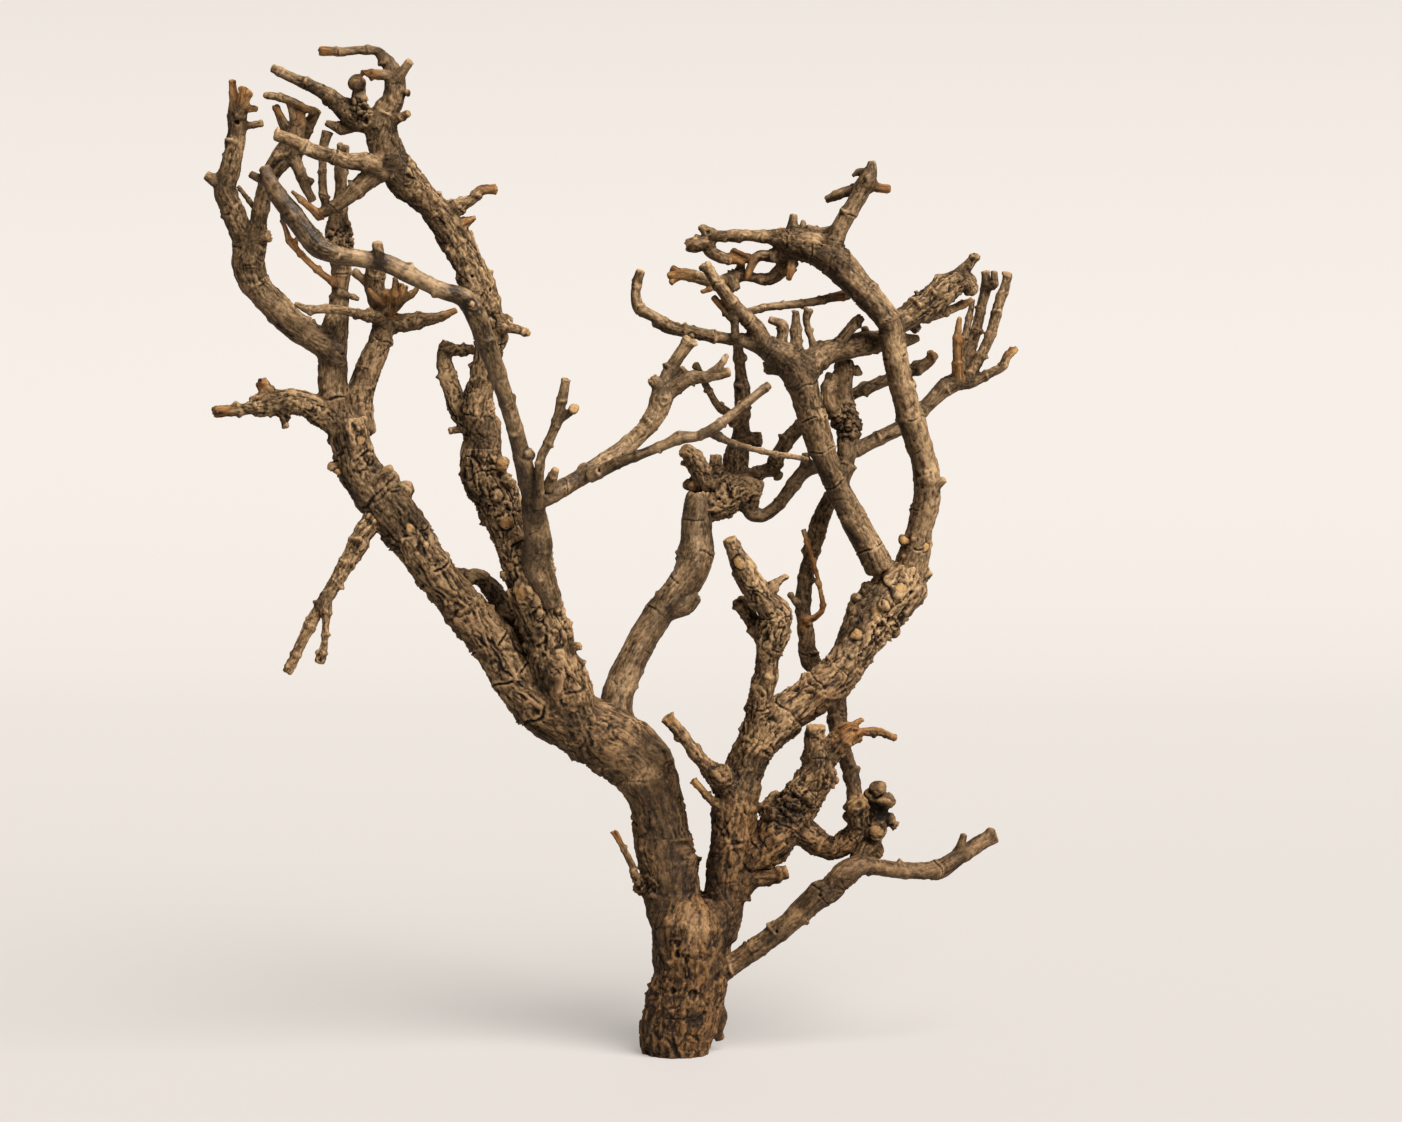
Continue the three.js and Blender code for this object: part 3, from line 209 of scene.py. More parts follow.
class Noise:
    """Repeatable gradient and cell noise on points in space."""

    entries = 256
    gain = 1.6
    finer = 2.03
    drift = 17.3

    def __init__(self, seed: int) -> None:
        """Draws the tables.

        Args:
            seed: Number that the tables are drawn from.
        """
        rng = np.random.default_rng(seed)
        self.order = np.tile(rng.permutation(self.entries), 3)
        slopes = rng.normal(size=(self.entries, 3))
        self.slopes = slopes / np.linalg.norm(slopes, axis=1)[:, None]
        self.spots = rng.random((self.entries, 3))
        self.values = rng.random(self.entries)

    def _pick(self, i: Array, j: Array, k: Array) -> Array:
        """Returns the table entry of each lattice point."""
        last = self.entries - 1
        return self.order[self.order[self.order[i & last] + (j & last)] + (k & last)]

    def smooth(self, points: Array) -> Array:
        """Gradient noise.

        Args:
            points: Array of n by 3.

        Returns:
            Values between about -1 and 1.
        """
        cell = np.floor(points).astype(np.int64)
        f = points - cell
        u = f * f * f * (f * (f * 6 - 15) + 10)
        total = np.zeros(len(points))
        for a in (0, 1):
            for b in (0, 1):
                for c in (0, 1):
                    slope = self.slopes[self._pick(cell[:, 0] + a, cell[:, 1] + b, cell[:, 2] + c)]
                    near = ((f - (a, b, c)) * slope).sum(axis=1)
                    weight = np.where(a, u[:, 0], 1 - u[:, 0]) * np.where(b, u[:, 1], 1 - u[:, 1])
                    total += near * weight * np.where(c, u[:, 2], 1 - u[:, 2])
        return total * self.gain

    def layered(self, points: Array, layers: int) -> Array:
        """Adds finer layers of the noise.

        Args:
            points: Array of n by 3.
            layers: How many layers are added.

        Returns:
            Values between about -1 and 1.
        """
        total = np.zeros(len(points))
        for i in range(layers):
            total += self.smooth(points * self.finer**i + self.drift * i) * 0.5**i
        return total / 1.5

    def cells(self, points: Array) -> tuple[Array, Array, Array, Array]:
        """Cell noise.

        Args:
            points: Array of n by 3.

        Returns:
            Distance to the nearest spot, to the next one, the nearest one's own value, and
            how far its cell is lifted here when each cell leans its own way.
        """
        cell = np.floor(points).astype(np.int64)
        first = np.full(len(points), 9.0)
        second = first.copy()
        own = np.zeros(len(points))
        lift = own.copy()
        for a in (-1, 0, 1):
            for b in (-1, 0, 1):
                for c in (-1, 0, 1):
                    at = cell + (a, b, c)
                    key = self._pick(at[:, 0], at[:, 1], at[:, 2])
                    off = points - at - self.spots[key]
                    gap = np.linalg.norm(off, axis=1)
                    nearer = gap < first
                    second = np.where(nearer, first, np.minimum(second, gap))
                    own = np.where(nearer, self.values[key], own)
                    lift = np.where(nearer, (off * self.slopes[key]).sum(axis=1), lift)
                    first = np.where(nearer, gap, first)
        return first, second, own, lift


def deselect() -> None:
    """Deselects every object."""
    bpy.ops.object.select_all(action="DESELECT")


def to_mode(name: str) -> None:
    """Puts the active object in edit mode or in object mode."""
    bpy.ops.object.mode_set(mode=name)


def step(low: float, high: float, value: Array) -> Array:
    """Blends smoothly from 0 to 1.

    Args:
        low: Value at which the blend is 0.
        high: Value at which it is 1.
        value: Array of values.

    Returns:
        The blend at each value.
    """
    t = np.clip((value - low) / (high - low), 0.0, 1.0)
    return t * t * (3 - 2 * t)


class Strand:
    """The dense centre line of one tube, in the space where its section is round."""

    spacing = 0.8
    scatter = 90
    usual_radius = 5.2
    batch = 20000

    def __init__(self, route: Route, depth: float, grain: Bark, tip: Tip, seed: int) -> None:
        """Runs a smooth curve through the route.

        Args:
            route: Listed points of the tube.
            depth: Depth over width of its section.
            grain: Bark on it.
            tip: How it ends.
            seed: Number of the tube, which moves its pattern.
        """
        self.depth, self.grain, self.tip = depth, grain, tip
        placed = [View.place(x, z, y) for x, z, y, _ in route]
        knots = np.array([p for p, _ in placed]) / (1.0, depth, 1.0)
        widths = np.array([r * s for (_, _, _, r), (_, s) in zip(route, placed)])
        self.centres, self.radii = self._curve(knots, widths)
        steps = np.linalg.norm(np.diff(self.centres, axis=0), axis=1)
        self.along = np.concatenate([[0.0], np.cumsum(steps)])
        self.heading = np.gradient(self.centres, axis=0)
        self.heading /= np.linalg.norm(self.heading, axis=1)[:, None] + 1e-9
        self.side, self.up = self._frames()
        rng = np.random.default_rng(seed)
        self.shift = rng.random(3) * self.scatter
        self.scale = float(np.clip((self.usual_radius / self.radii.mean()) ** 0.45, 0.85, 1.75))

    def _curve(self, knots: Array, widths: Array) -> tuple[Array, Array]:
        """Gives the points and radii of the smooth curve."""
        ends = [2 * knots[0] - knots[1], *knots, 2 * knots[-1] - knots[-2]]
        points, radii = [], []
        for i in range(len(knots) - 1):
            a, b, c, d = ends[i : i + 4]
            t1 = max(np.linalg.norm(b - a), 1e-4) ** 0.5
            t2 = t1 + max(np.linalg.norm(c - b), 1e-4) ** 0.5
            t3 = t2 + max(np.linalg.norm(d - c), 1e-4) ** 0.5
            count = max(2, int(np.linalg.norm(c - b) / self.spacing))
            for f in np.arange(count) / count:
                t = t1 + (t2 - t1) * f
                ab = a * (t1 - t) / t1 + b * t / t1
                bc = b * (t2 - t) / (t2 - t1) + c * (t - t1) / (t2 - t1)
                cd = c * (t3 - t) / (t3 - t2) + d * (t - t2) / (t3 - t2)
                abc = ab * (t2 - t) / t2 + bc * t / t2
                bcd = bc * (t3 - t) / (t3 - t1) + cd * (t - t1) / (t3 - t1)
                points.append(abc * (t2 - t) / (t2 - t1) + bcd * (t - t1) / (t2 - t1))
                radii.append(widths[i] * (1 - f) + widths[i + 1] * f)
        return np.array([*points, knots[-1]]), np.array([*radii, widths[-1]])

    def _frames(self) -> tuple[Array, Array]:
        """Gives two directions across the tube at each point, carried along without twist."""
        side = np.zeros_like(self.centres)
        across = np.cross(self.heading[0], (0.0, 1.0, 0.0))
        if np.linalg.norm(across) < 0.2:
            across = np.array([1.0, 0.0, 0.0])
        for i, along in enumerate(self.heading):
            across = across - along * across.dot(along)
            across /= np.linalg.norm(across)
            side[i] = across
        return side, np.cross(self.heading, side)

    def measure(self, points: Array) -> Fields:
        """Measures points against the tube.

        Args:
            points: Array of n by 3, in millimetres.

        Returns:
            For each point: the gap to the surface, the straightened place, the
            radius there, and how far past the end it lies.
        """
        own = points / (1.0, self.depth, 1.0)
        index = np.zeros(len(own), dtype=np.int64)
        for start in range(0, len(own), self.batch):
            part = own[start : start + self.batch]
            gap = np.linalg.norm(part[:, None] - self.centres[None], axis=2) - self.radii[None]
            index[start : start + self.batch] = gap.argmin(axis=1)
        off = own - self.centres[index]
        ahead = (off * self.heading[index]).sum(axis=1)
        off -= self.heading[index] * ahead[:, None]
        far = np.linalg.norm(off, axis=1) + 1e-9
        radius = self.radii[index]
        past = np.where(index == len(self.centres) - 1, ahead, NOT_PAST)
        around = off / far[:, None]
        ring = np.column_stack([
            (around * self.side[index]).sum(axis=1) * radius,
            (around * self.up[index]).sum(axis=1) * radius,
            self.along[index] + ahead,
        ])
        return {"gap": np.maximum(far - radius, past), "ring": ring, "radius": radius, "past": past,
                "left": self.along[-1] - ring[:, 2], "heading": self.heading[index]}


@dataclass(frozen=True)
class Pattern:
    """Sizes of the bark's pattern and heights of its relief, in millimetres on a limb 9 mm thick."""

    warp_size: Triple = (5.5, 5.5, 8.0)
    warp_reach: Triple = (1.9, 1.9, 3.4)
    curl_size: float = 2.1
    curl_reach: float = 0.45
    lump_size: Triple = (8.5, 8.5, 11.0)
    plate_size: float = 4.0
    patch_size: float = 9.0
    flake_size: Triple = (2.0, 2.0, 3.8)
    strand_size: Triple = (1.9, 1.9, 12.0)
    worm_size: Triple = (3.1, 3.1, 4.6)
    ring_gap: float = 13.0
    pit_gap: float = 5.5
    wart_gap: float = 5.0
    fine_size: float = 1.5
    plate: float = 0.50
    flake: float = 0.30
    crack: float = 0.50
    strand: float = 0.30
    worm: float = 0.40
    lip: float = 0.30
    ring: float = 0.60
    pit: float = 0.80
    fine: float = 0.20
    lump: float = 0.95
    wart: float = 1.30
    knuckle: float = 1.10
    bud: float = 2.80
    bark_radius: float = 4.4


class Carver:
    """Works out the relief and the tones of the bark at every point of a skin."""

    stored = ("relief", "crack", "warmth_and_low_shade", "bare", "dark", "cut", "raw")
    pattern = Pattern()

    def __init__(self, strands: list[Strand]) -> None:
        """Keeps the strands.

        Args:
            strands: Every tube of the piece.
        """
        self.strands = strands
        self.noise = Noise(5)
        self.other = Noise(23)

    def assign(self, points: Array) -> tuple[Fields, Fields]:
        """Finds the nearest and the next tube of each point.

        Args:
            points: Array of n by 3, in millimetres.

        Returns:
            What Strand.measure gives for the two, with the tube's number as "owner".
        """
        count = len(points)
        blank = {"gap": np.full(count, NOWHERE), "ring": np.zeros((count, 3)), "radius": np.ones(count),
                 "past": np.full(count, NOT_PAST), "left": np.full(count, NOWHERE),
                 "heading": np.zeros((count, 3)), "owner": np.zeros(count, dtype=np.int64)}
        best, next_best = blank, {k: v.copy() for k, v in blank.items()}
        for number, strand in enumerate(self.strands):
            centres = strand.centres * (1.0, strand.depth, 1.0)
            reach = strand.radii.max() * 1.3 + 3.0
            low, high = centres.min(axis=0) - reach, centres.max(axis=0) + reach
            rows = np.flatnonzero(((points > low) & (points < high)).all(axis=1))
            if not len(rows):
                continue
            found = strand.measure(points[rows])
            found["owner"] = np.full(len(rows), number)
            first = found["gap"] < best["gap"][rows]
            middle = ~first & (found["gap"] < next_best["gap"][rows])
            for key in best:
                next_best[key][rows[first]] = best[key][rows[first]]
                best[key][rows[first]] = found[key][first]
                next_best[key][rows[middle]] = found[key][middle]
        return best, next_best

    def _per_tube(self, owner: Array, name: str) -> Array:
        """Returns one strength of the bark for each point."""
        return np.array([getattr(s.grain, name) for s in self.strands])[owner]

    def plates(self, q: Array, bent: Array, length: Array) -> tuple[Array, Array, Array]:
        """Gives the plates that the bark is split into.

        Args:
            q: Places in the pattern.
            bent: The same places after the pattern is bent.
            length: Length over width of the plates.

        Returns:
            The leaning plates, the flakes on them and the cracks between them.
        """
        long = np.column_stack([np.ones(len(q)), np.ones(len(q)), 1 / length])
        first, second, own, lift = self.noise.cells(bent / self.pattern.plate_size * long)
        patchy = self.other.smooth(q / self.pattern.patch_size)
        crack = 1 - step(0.0, 0.05 + 0.09 * step(-0.4, 0.6, patchy), second - first)
        _, _, small_own, small_lift = self.other.cells(bent / self.pattern.flake_size + 7.0)
        flake = 1.6 * small_lift + (small_own > 0.8) * 0.5
        return 1.5 * lift + 0.5 * (own - 0.5), flake, crack * step(-0.3, 0.3, patchy)

    def lines(self, q: Array, bent: Array) -> tuple[Array, Array]:
        """Gives the ridges of the bark.

        Args:
            q: Places in the pattern.
            bent: The same places after the pattern is bent.

        Returns:
            The strands along the limb and the wormy ridges.
        """
        strands = 1 - 2.2 * np.abs(self.other.layered(bent / self.pattern.strand_size, 2))
        worms = 0.8 - 2.6 * np.abs(self.noise.layered(bent / self.pattern.worm_size + 51.0, 2))
        return strands, worms * step(-0.5, 0.4, self.other.smooth(q / 12.0 + 3.0))

    def rings(self, q: Array, at: Fields) -> tuple[Array, Array, Array, Array]:
        """Gives what stands at intervals along a limb.

        Args:
            q: Places in the pattern.
            at: Straightened places, as assign gives them.

        Returns:
            The cross cracks, the lips beside them, the knuckles and the buds.
        """
        beat = q[:, 2] / self.pattern.ring_gap + 0.22 * self.noise.smooth(q / 7.0 + 71.0)
        jump = np.abs(beat - np.floor(beat) - 0.5 - 0.3 * np.sin(np.floor(beat) * 12.9898))
        ring = (1 - step(0.006, 0.042, jump)) * step(-0.05, 0.3, self.other.smooth(q / 6.0 + 13.0))
        lip = (1 - step(0.05, 0.16, jump)) * (1 - ring)
        knuckle = np.exp(-((jump / 0.11) ** 2)) * step(3.6, 1.6, at["radius"])
        turn = np.arctan2(at["ring"][:, 1], at["ring"][:, 0]) - 2.4 * np.floor(beat)
        bud = np.exp(-((jump / 0.075) ** 2)) * np.clip(np.cos(turn), 0, 1) ** 7
        return ring, lip, knuckle, bud * step(5.5, 2.5, at["radius"])

    def spots(self, q: Array) -> tuple[Array, Array]:
        """Gives the small round marks.

        Args:
            q: Places in the pattern.

        Returns:
            The pits and the warts.
        """
        pit_gap, _, pit_own, _ = self.noise.cells(q / self.pattern.pit_gap + 29.0)
        wart_gap, _, wart_own, _ = self.other.cells(q / self.pattern.wart_gap + 41.0)
        pit = (1 - step(0.05, 0.14, pit_gap)) * (pit_own < 0.4)
        return pit, np.exp(-((wart_gap / 0.17) ** 2)) * (wart_own > 0.45)

    def bark(self, at: Fields, normals: Array) -> Fields:
        """Gives the bark's height and tones on one tube.

        Args:
            at: Straightened places, as assign gives them.
            normals: Outward directions of the skin.

        Returns:
            The height in millimetres and the tones.
        """
        owner, p = at["owner"], self.pattern
        scale = np.array([s.scale for s in self.strands])[owner]
        shift = np.array([s.shift for s in self.strands])[owner]
        q = at["ring"] * scale[:, None] + shift
        warp = np.column_stack([self.noise.smooth(q / p.warp_size + k * 31.7) for k in range(3)])
        curl = np.column_stack([self.other.smooth(q / p.curl_size + k * 13.1) for k in range(3)])
        bent = q + warp * p.warp_reach + curl * p.curl_reach
        weight = {f.name: self._per_tube(owner, f.name) for f in fields(Bark)}
        plate, flake, crack = self.plates(q, bent, weight["length"])
        strands, worms = self.lines(q, bent)
        ring, lip, knuckle, bud = self.rings(q, at)
        pit, wart = self.spots(q)
        lumps = self.noise.layered(q / p.lump_size, 3)
        shape = (
            p.plate * weight["plates"] * plate
            + p.flake * (0.12 + weight["plates"]) * flake
            - p.crack * weight["plates"] * crack
            + p.strand * weight["furrows"] * strands
            + p.worm * weight["swirls"] * worms
            + weight["rings"] * (p.lip * lip - p.ring * ring)
            - p.pit * weight["pits"] * pit
            + p.fine * self.noise.layered(q / p.fine_size + 5.0, 2)
        )
        bulk = weight["lumps"] * (p.lump * lumps + p.wart * wart + p.knuckle * knuckle + p.bud * bud)
        size = np.clip(at["radius"] / p.bark_radius, 0.32, 1.25)
        height = size * (shape * (1 - 0.45 * weight["bare"]) + bulk * (1 - 0.5 * weight["bare"]))
        made = {"relief": shape, "crack": np.maximum(crack * weight["plates"], ring * 0.9),
                "bare": weight["bare"], "dark": weight["dark"], "pit": pit}
        return made | self.end(at, normals, height, q, lumps)

    def end(self, at: Fields, normals: Array, height: Array, q: Array, lumps: Array) -> Fields:
        """Flattens or breaks the ends of the tubes.

        Args:
            at: Straightened places, as assign gives them.
            normals: Outward directions of the skin.
            height: Height of the bark.
            q: Places in the pattern.
            lumps: Noise that frays the edge of the broken wood.

        Returns:
            The height, the freshly cut wood and the raw wood.
        """
        tip = np.array([s.tip.value for s in self.strands])[at["owner"]]
        facing = (normals * at["heading"]).sum(axis=1)
        cap = step(0.35, 0.75, facing) * step(-1.2, -0.3, at["past"])
        ragged = cap * (tip != Tip.SAWN.value) * at["radius"] * 0.35 * self.noise.smooth(q / 1.3 + 9.0)
        near_end = 1 - step(2.0, 7.5, at["left"] + 2.0 * lumps)
        raw = np.where(tip == Tip.RAW.value, 1.0, np.where(tip == Tip.SNAPPED.value, near_end, 0.0))
        return {"height": np.where(cap > 0.5, height * 0.25, height) + ragged, "raw": raw,
                "cut": cap * np.where(tip == Tip.SAWN.value, 1.0, 0.35)}

    def carve(self, points: Array, normals: Array) -> tuple[Array, Fields]:
        """Works out the relief of the whole skin, blended where two tubes meet.

        Args:
            points: Array of n by 3, in millimetres.
            normals: Outward directions of the skin.

        Returns:
            The height at each point, and its tones with the straightened place as "grain".
        """
        best, other = self.assign(points)
        made = self.bark(best, normals)
        share = 0.5 * (1 - step(0.0, 2.0 + 0.3 * best["radius"], other["gap"] - best["gap"]))
        rows = np.flatnonzero(share > 0.01)
        if len(rows):
            beside = self.bark({k: v[rows] for k, v in other.items()}, normals[rows])
            for key, value in beside.items():
                made[key][rows] += share[rows] * (value - made[key][rows])
        made["crack"] = np.maximum(made["crack"], made.pop("pit"))
        made["grain"] = best["ring"] + np.array([s.shift for s in self.strands])[best["owner"]]
        # Painted shade: faces turned away from the key light get a darker tone, as if they lay in shade.
        under = 0.9 * step(0.35, -0.7, normals @ (0.48, -0.36, 0.80))
        # Painted shade: points close to a second tube, in the crotches between limbs, get a darker tone.
        painted_crotch_shade = 0.8 * (1 - step(-1.0, 3.5, other["gap"]))
        # Both painted shades are added to the dark tone, which also carries the own darkness of dark bark.
        made["dark"] = np.maximum(made["dark"], np.maximum(under, painted_crotch_shade))
        # Towards the bottom the bark turns to the warm colours, which are also darker: the foot's own warmer
        # brown, with painted shade for the dimmer light low on the piece.
        made["warmth_and_low_shade"] = step(165.0, 25.0, points[:, 2] + 22 * self.noise.smooth(points / 24.0))
        return made.pop("height"), made


class Skin:
    """The mesh of one part of the piece, read and written as arrays in millimetres."""

    def __init__(self, piece: bpy.types.Object) -> None:
        """Reads the mesh.

        Args:
            piece: Object that carries it.
        """
        self.mesh = piece.data
        self.count = len(self.mesh.vertices)
        pairs = np.empty(len(self.mesh.edges) * 2, dtype=np.int32)
        self.mesh.edges.foreach_get("vertices", pairs)
        self.pairs = pairs.reshape(-1, 2)
        self.links = np.bincount(self.pairs.ravel(), minlength=self.count).astype(float)
        self.points = np.empty(self.count * 3)
        self.mesh.vertices.foreach_get("co", self.points)
        self.points = self.points.reshape(-1, 3) / MM

    def normals(self) -> Array:
        """Returns the outward directions for the points as they are now."""
        self.mesh.vertices.foreach_set("co", (self.points * MM).ravel())
        self.mesh.update()
        found = np.empty(self.count * 3, dtype=np.float32)
        self.mesh.vertex_normals.foreach_get("vector", found)
        return found.reshape(-1, 3).astype(float)

    def mean(self, values: Array) -> Array:
        """Returns the mean of each point's neighbours.

        Args:
            values: One value, or one row, for each point.
        """
        a, b = self.pairs.T
        columns = values.reshape(self.count, -1)
        total = np.column_stack([
            np.bincount(a, c[b], self.count) + np.bincount(b, c[a], self.count) for c in columns.T
        ])
        return (total / np.maximum(self.links, 1)[:, None]).reshape(values.shape)

    def relax(self, rounds: int, strength: Array) -> None:
        """Moves each point towards its neighbours.

        Args:
            rounds: How often.
            strength: Share of the way, for each point.
        """
        for _ in range(rounds):
            self.points += (self.mean(self.points) - self.points) * strength[:, None]


@dataclass
class Piece:
    """One part of the driftwood: its limbs, their skin and its finish."""

    name: str = "piece"
    slot: str = "bark"
    voxel: float = 0.45
    triangles: int = 120000
    tips: dict[Tip, tuple[str, ...]] = field(default_factory=dict)
    marks: list[Row] = field(default_factory=list)
    limbs: dict[str, Limb] = field(default_factory=dict)
    thinnest: float = 0.55
    fork_rounds: int = 24

    def strands(self) -> list[Strand]:
        """Returns the dense centre line of every tube."""
        made = []
        for limb_name, limb in self.limbs.items():
            for tube_name, route in limb.tubes.items():
                name = f"{limb_name}.{tube_name}"
                seed = sum(ord(c) * (i + 3) for i, c in enumerate(name))
                tip = next((kind for kind, names in self.tips.items() if name in names), Tip.PLAIN)
                made.append(Strand(route, limb.depth, limb.grain.value, tip, seed))
        return made

    def sweep(self, strands: list[Strand]) -> list[bpy.types.Object]:
        """Sweeps a round section along every strand.

        Args:
            strands: The tubes.

        Returns:
            One mesh object for each depth of section.
        """
        made = []
        for depth in sorted({s.depth for s in strands}):
            deselect()
            bpy.ops.curve.primitive_nurbs_path_add(location=(0, 0, 0))
            path = bpy.context.object
            path.data.splines.clear()
            for strand in (s for s in strands if s.depth == depth):
                spline = path.data.splines.new("POLY")
                spline.points.add(len(strand.centres) - 1)
                rows = np.column_stack([strand.centres * MM, np.ones(len(strand.centres))])
                spline.points.foreach_set("co", rows.ravel())
                spline.points.foreach_set("radius", np.maximum(strand.radii, self.thinnest))
            path.data.dimensions = "3D"
            path.data.bevel_depth = MM
            path.data.bevel_resolution = 4
            path.data.use_fill_caps = True
            bpy.ops.object.convert(target="MESH")
            path.scale = (1, depth, 1)
            bpy.ops.object.transform_apply(location=False, rotation=False, scale=True)
            made.append(bpy.context.object)
        return made

    def balls(self) -> list[bpy.types.Object]:
        """Returns a ball for every knob."""
        made = []
        for limb in self.limbs.values():
            for x, z, y, r in limb.knobs:
                at, scale = View.place(x, z, y)
                deselect()
                size = r * scale * MM
                bpy.ops.mesh.primitive_ico_sphere_add(subdivisions=3, radius=size, location=at * MM)
                bpy.ops.object.transform_apply(location=True, rotation=False, scale=False)
                made.append(bpy.context.object)
        return made

    def skin(self, strands: list[Strand]) -> bpy.types.Object:
        """Joins the tubes and knobs in one closed skin.

        Args:
            strands: The tubes.

        Returns:
            The skin's object.
        """
        parts = self.sweep(strands) + self.balls()
        deselect()
        for part in parts:
            part.select_set(True)
        bpy.context.view_layer.objects.active = parts[0]
        bpy.ops.object.join()
        piece = bpy.context.object
        piece.name = piece.data.name = self.name
        cover = piece.modifiers.new("Skin", "REMESH")
        cover.mode = "VOXEL"
        cover.voxel_size = self.voxel * MM * 1.0
        bpy.ops.object.modifier_apply(modifier=cover.name)
        return piece

    def carve(self, piece: bpy.types.Object, strands: list[Strand]) -> None:
        """Smooths the skin, lays it on the tubes and carves the bark.

        Args:
            piece: The skin's object.
            strands: The tubes.
        """
        skin = Skin(piece)
        carver = Carver(strands)
        skin.relax(3, np.full(skin.count, 0.5))
        best, other = carver.assign(skin.points)
        apart = step(0.6, 3.0, other["gap"] - best["gap"]) * (best["past"] < -0.8)
        near = np.abs(best["gap"]) < 1.2
        skin.points -= skin.normals() * (np.clip(best["gap"], -0.6, 0.6) * apart * near)[:, None]
        fork = np.minimum(best["radius"], other["radius"]) > 2.2
        inside = (best["past"] < -1.0) | (other["gap"] < 2.0)
        skin.relax(self.fork_rounds, 0.5 * (1 - step(0.5, 4.0, other["gap"])) * fork * inside)
        skin.relax(1, np.full(skin.count, 0.3))
        normals = skin.normals()
        height, tones = carver.carve(skin.points, normals)
        for row in self.marks:
            self.scar(Mark(*row), skin.points, normals, height, tones)
        limit = 0.4 * np.maximum(best["radius"], 1.0)
        skin.points += normals * np.clip(height, -limit, 1.6 * limit)[:, None]
        skin.points[:, 2] = np.maximum(skin.points[:, 2], 0.0)
        normals = skin.normals()
        # The skin's bend is added to the relief tone: painted shade darkens the hollows and painted
        # highlight lightens the ridges, on top of the bark's own tone from its pattern.
        bend = ((skin.points - skin.mean(skin.points)) * normals).sum(axis=1) / self.voxel
        bend = 0.5 * bend + 0.5 * skin.mean(bend)
        tones["relief"] = np.clip(tones["relief"] * 0.55 + 1.7 * bend, -1, 1)
        self.write(piece.data, tones)
        self.trim(piece)

    def trim(self, piece: bpy.types.Object) -> None:
        """Brings the skin down to its number of triangles.

        Args:
            piece: The skin's object, which is the active one.
        """
        trim = piece.modifiers.new("Trim", "DECIMATE")
        trim.ratio = min(1.0, self.triangles / (2 * len(piece.data.polygons)))
        bpy.ops.object.modifier_apply(modifier=trim.name)
        self.drop_specks(piece.data)
        bpy.ops.object.shade_smooth()

    @staticmethod
    def drop_specks(mesh: bpy.types.Mesh) -> None:
        """Deletes the loose folded triangles that the trim may leave, which touch nothing else.

        Args:
            mesh: Mesh of the active object.
        """
        ends = np.empty(2 * len(mesh.edges), dtype=np.int32)
        mesh.edges.foreach_get("vertices", ends)
        ends = ends.reshape(-1, 2)
        thin = np.bincount(ends.ravel(), minlength=len(mesh.vertices)) == 2
        inner = ends[thin[ends].all(axis=1)]
        loose = np.bincount(inner.ravel(), minlength=len(mesh.vertices)) == 2
        if not loose.any():
            return
        to_mode("EDIT")
        bpy.ops.mesh.select_mode(type="VERT")
        bpy.ops.mesh.select_all(action="DESELECT")
        to_mode("OBJECT")
        mesh.vertices.foreach_set("select", loose)
        to_mode("EDIT")
        bpy.ops.mesh.delete(type="VERT")
        to_mode("OBJECT")

    def scar(self, mark: Mark, points: Array, normals: Array, height: Array, tones: Fields) -> None:
        """Adds one scar where the line of sight first meets the skin.

        Args:
            mark: The scar.
            points: Points of the skin, in millimetres.
            normals: Outward directions there.
            height: Heights, which are changed.
            tones: Tones, which are changed.
        """
        ray = View.ray(mark.x, mark.z)
        ray /= np.linalg.norm(ray)
        off = points - View.eye()
        ahead = off @ ray
        aside = np.linalg.norm(off - ahead[:, None] * ray, axis=1)
        hit = np.flatnonzero(aside < 1.2)
        if not len(hit):
            LOG.warning("no skin under the scar at %.1f, %.1f", mark.x, mark.z)
            return
        centre = points[hit[ahead[hit].argmin()]]
        gap = np.linalg.norm(points - centre, axis=1)
        rows = np.flatnonzero((gap < mark.r * 1.8) & (normals @ ray < 0.3))
        noise = Noise(61)
        wave = noise.smooth(points[rows] / (1.1 * mark.r) + mark.x)
        t = gap[rows] / mark.r * (1 + 0.35 * wave) + 0.12 * noise.smooth(points[rows] / 1.1)
        face, fade = 1 - step(0.75, 1.0, t), 1 - step(0.5, 1.5, t)
        rim = np.exp(-(((t - 1.15) / 0.22) ** 2))
        if mark.kind is Scar.DISC:
            height[rows] += face * (0.35 - height[rows]) - 0.4 * rim
            tones["cut"][rows] = np.maximum(tones["cut"][rows], face)
            tones["crack"][rows] = np.maximum(tones["crack"][rows] * (1 - face), rim * 0.8)
        elif mark.kind is Scar.PIT:
            height[rows] -= 1.1 * face * max(1.0, mark.r / 1.4)
            tones["crack"][rows] = np.maximum(tones["crack"][rows], face)
        elif mark.kind is Scar.SWIRL:
            turns = np.sin((t + 0.5 * wave) * 2 * math.pi * max(1.6, mark.r / 1.9))
            turns *= (1 - step(0.5, 1.7, t)) * step(-0.25, 0.3, noise.smooth(points[rows] / 3.0 + 5.0))
            height[rows] += 0.22 * turns + 0.7 * (1 - step(0.1, 1.3, t))
        elif mark.kind is Scar.KNOB:
            height[rows] += 1.1 * np.sqrt(np.clip(1 - t * t, 0, 1)) * min(1.6, mark.r / 1.6) - 0.35 * rim
            tones["crack"][rows] = np.maximum(tones["crack"][rows] * (1 - face), rim * 0.7)
        # Painted shade in the gaps between limbs and on shaded limb sides, together with the darker wood of
        # some knots.
        elif mark.kind is Scar.SHADE:
            tones["dark"][rows] = np.maximum(tones["dark"][rows], 1 - step(0.5, 1.4, t))
        elif mark.kind is Scar.WORN:
            height[rows] *= 1 - 0.6 * fade
            tones["bare"][rows] = np.maximum(tones["bare"][rows], 0.3 * fade)
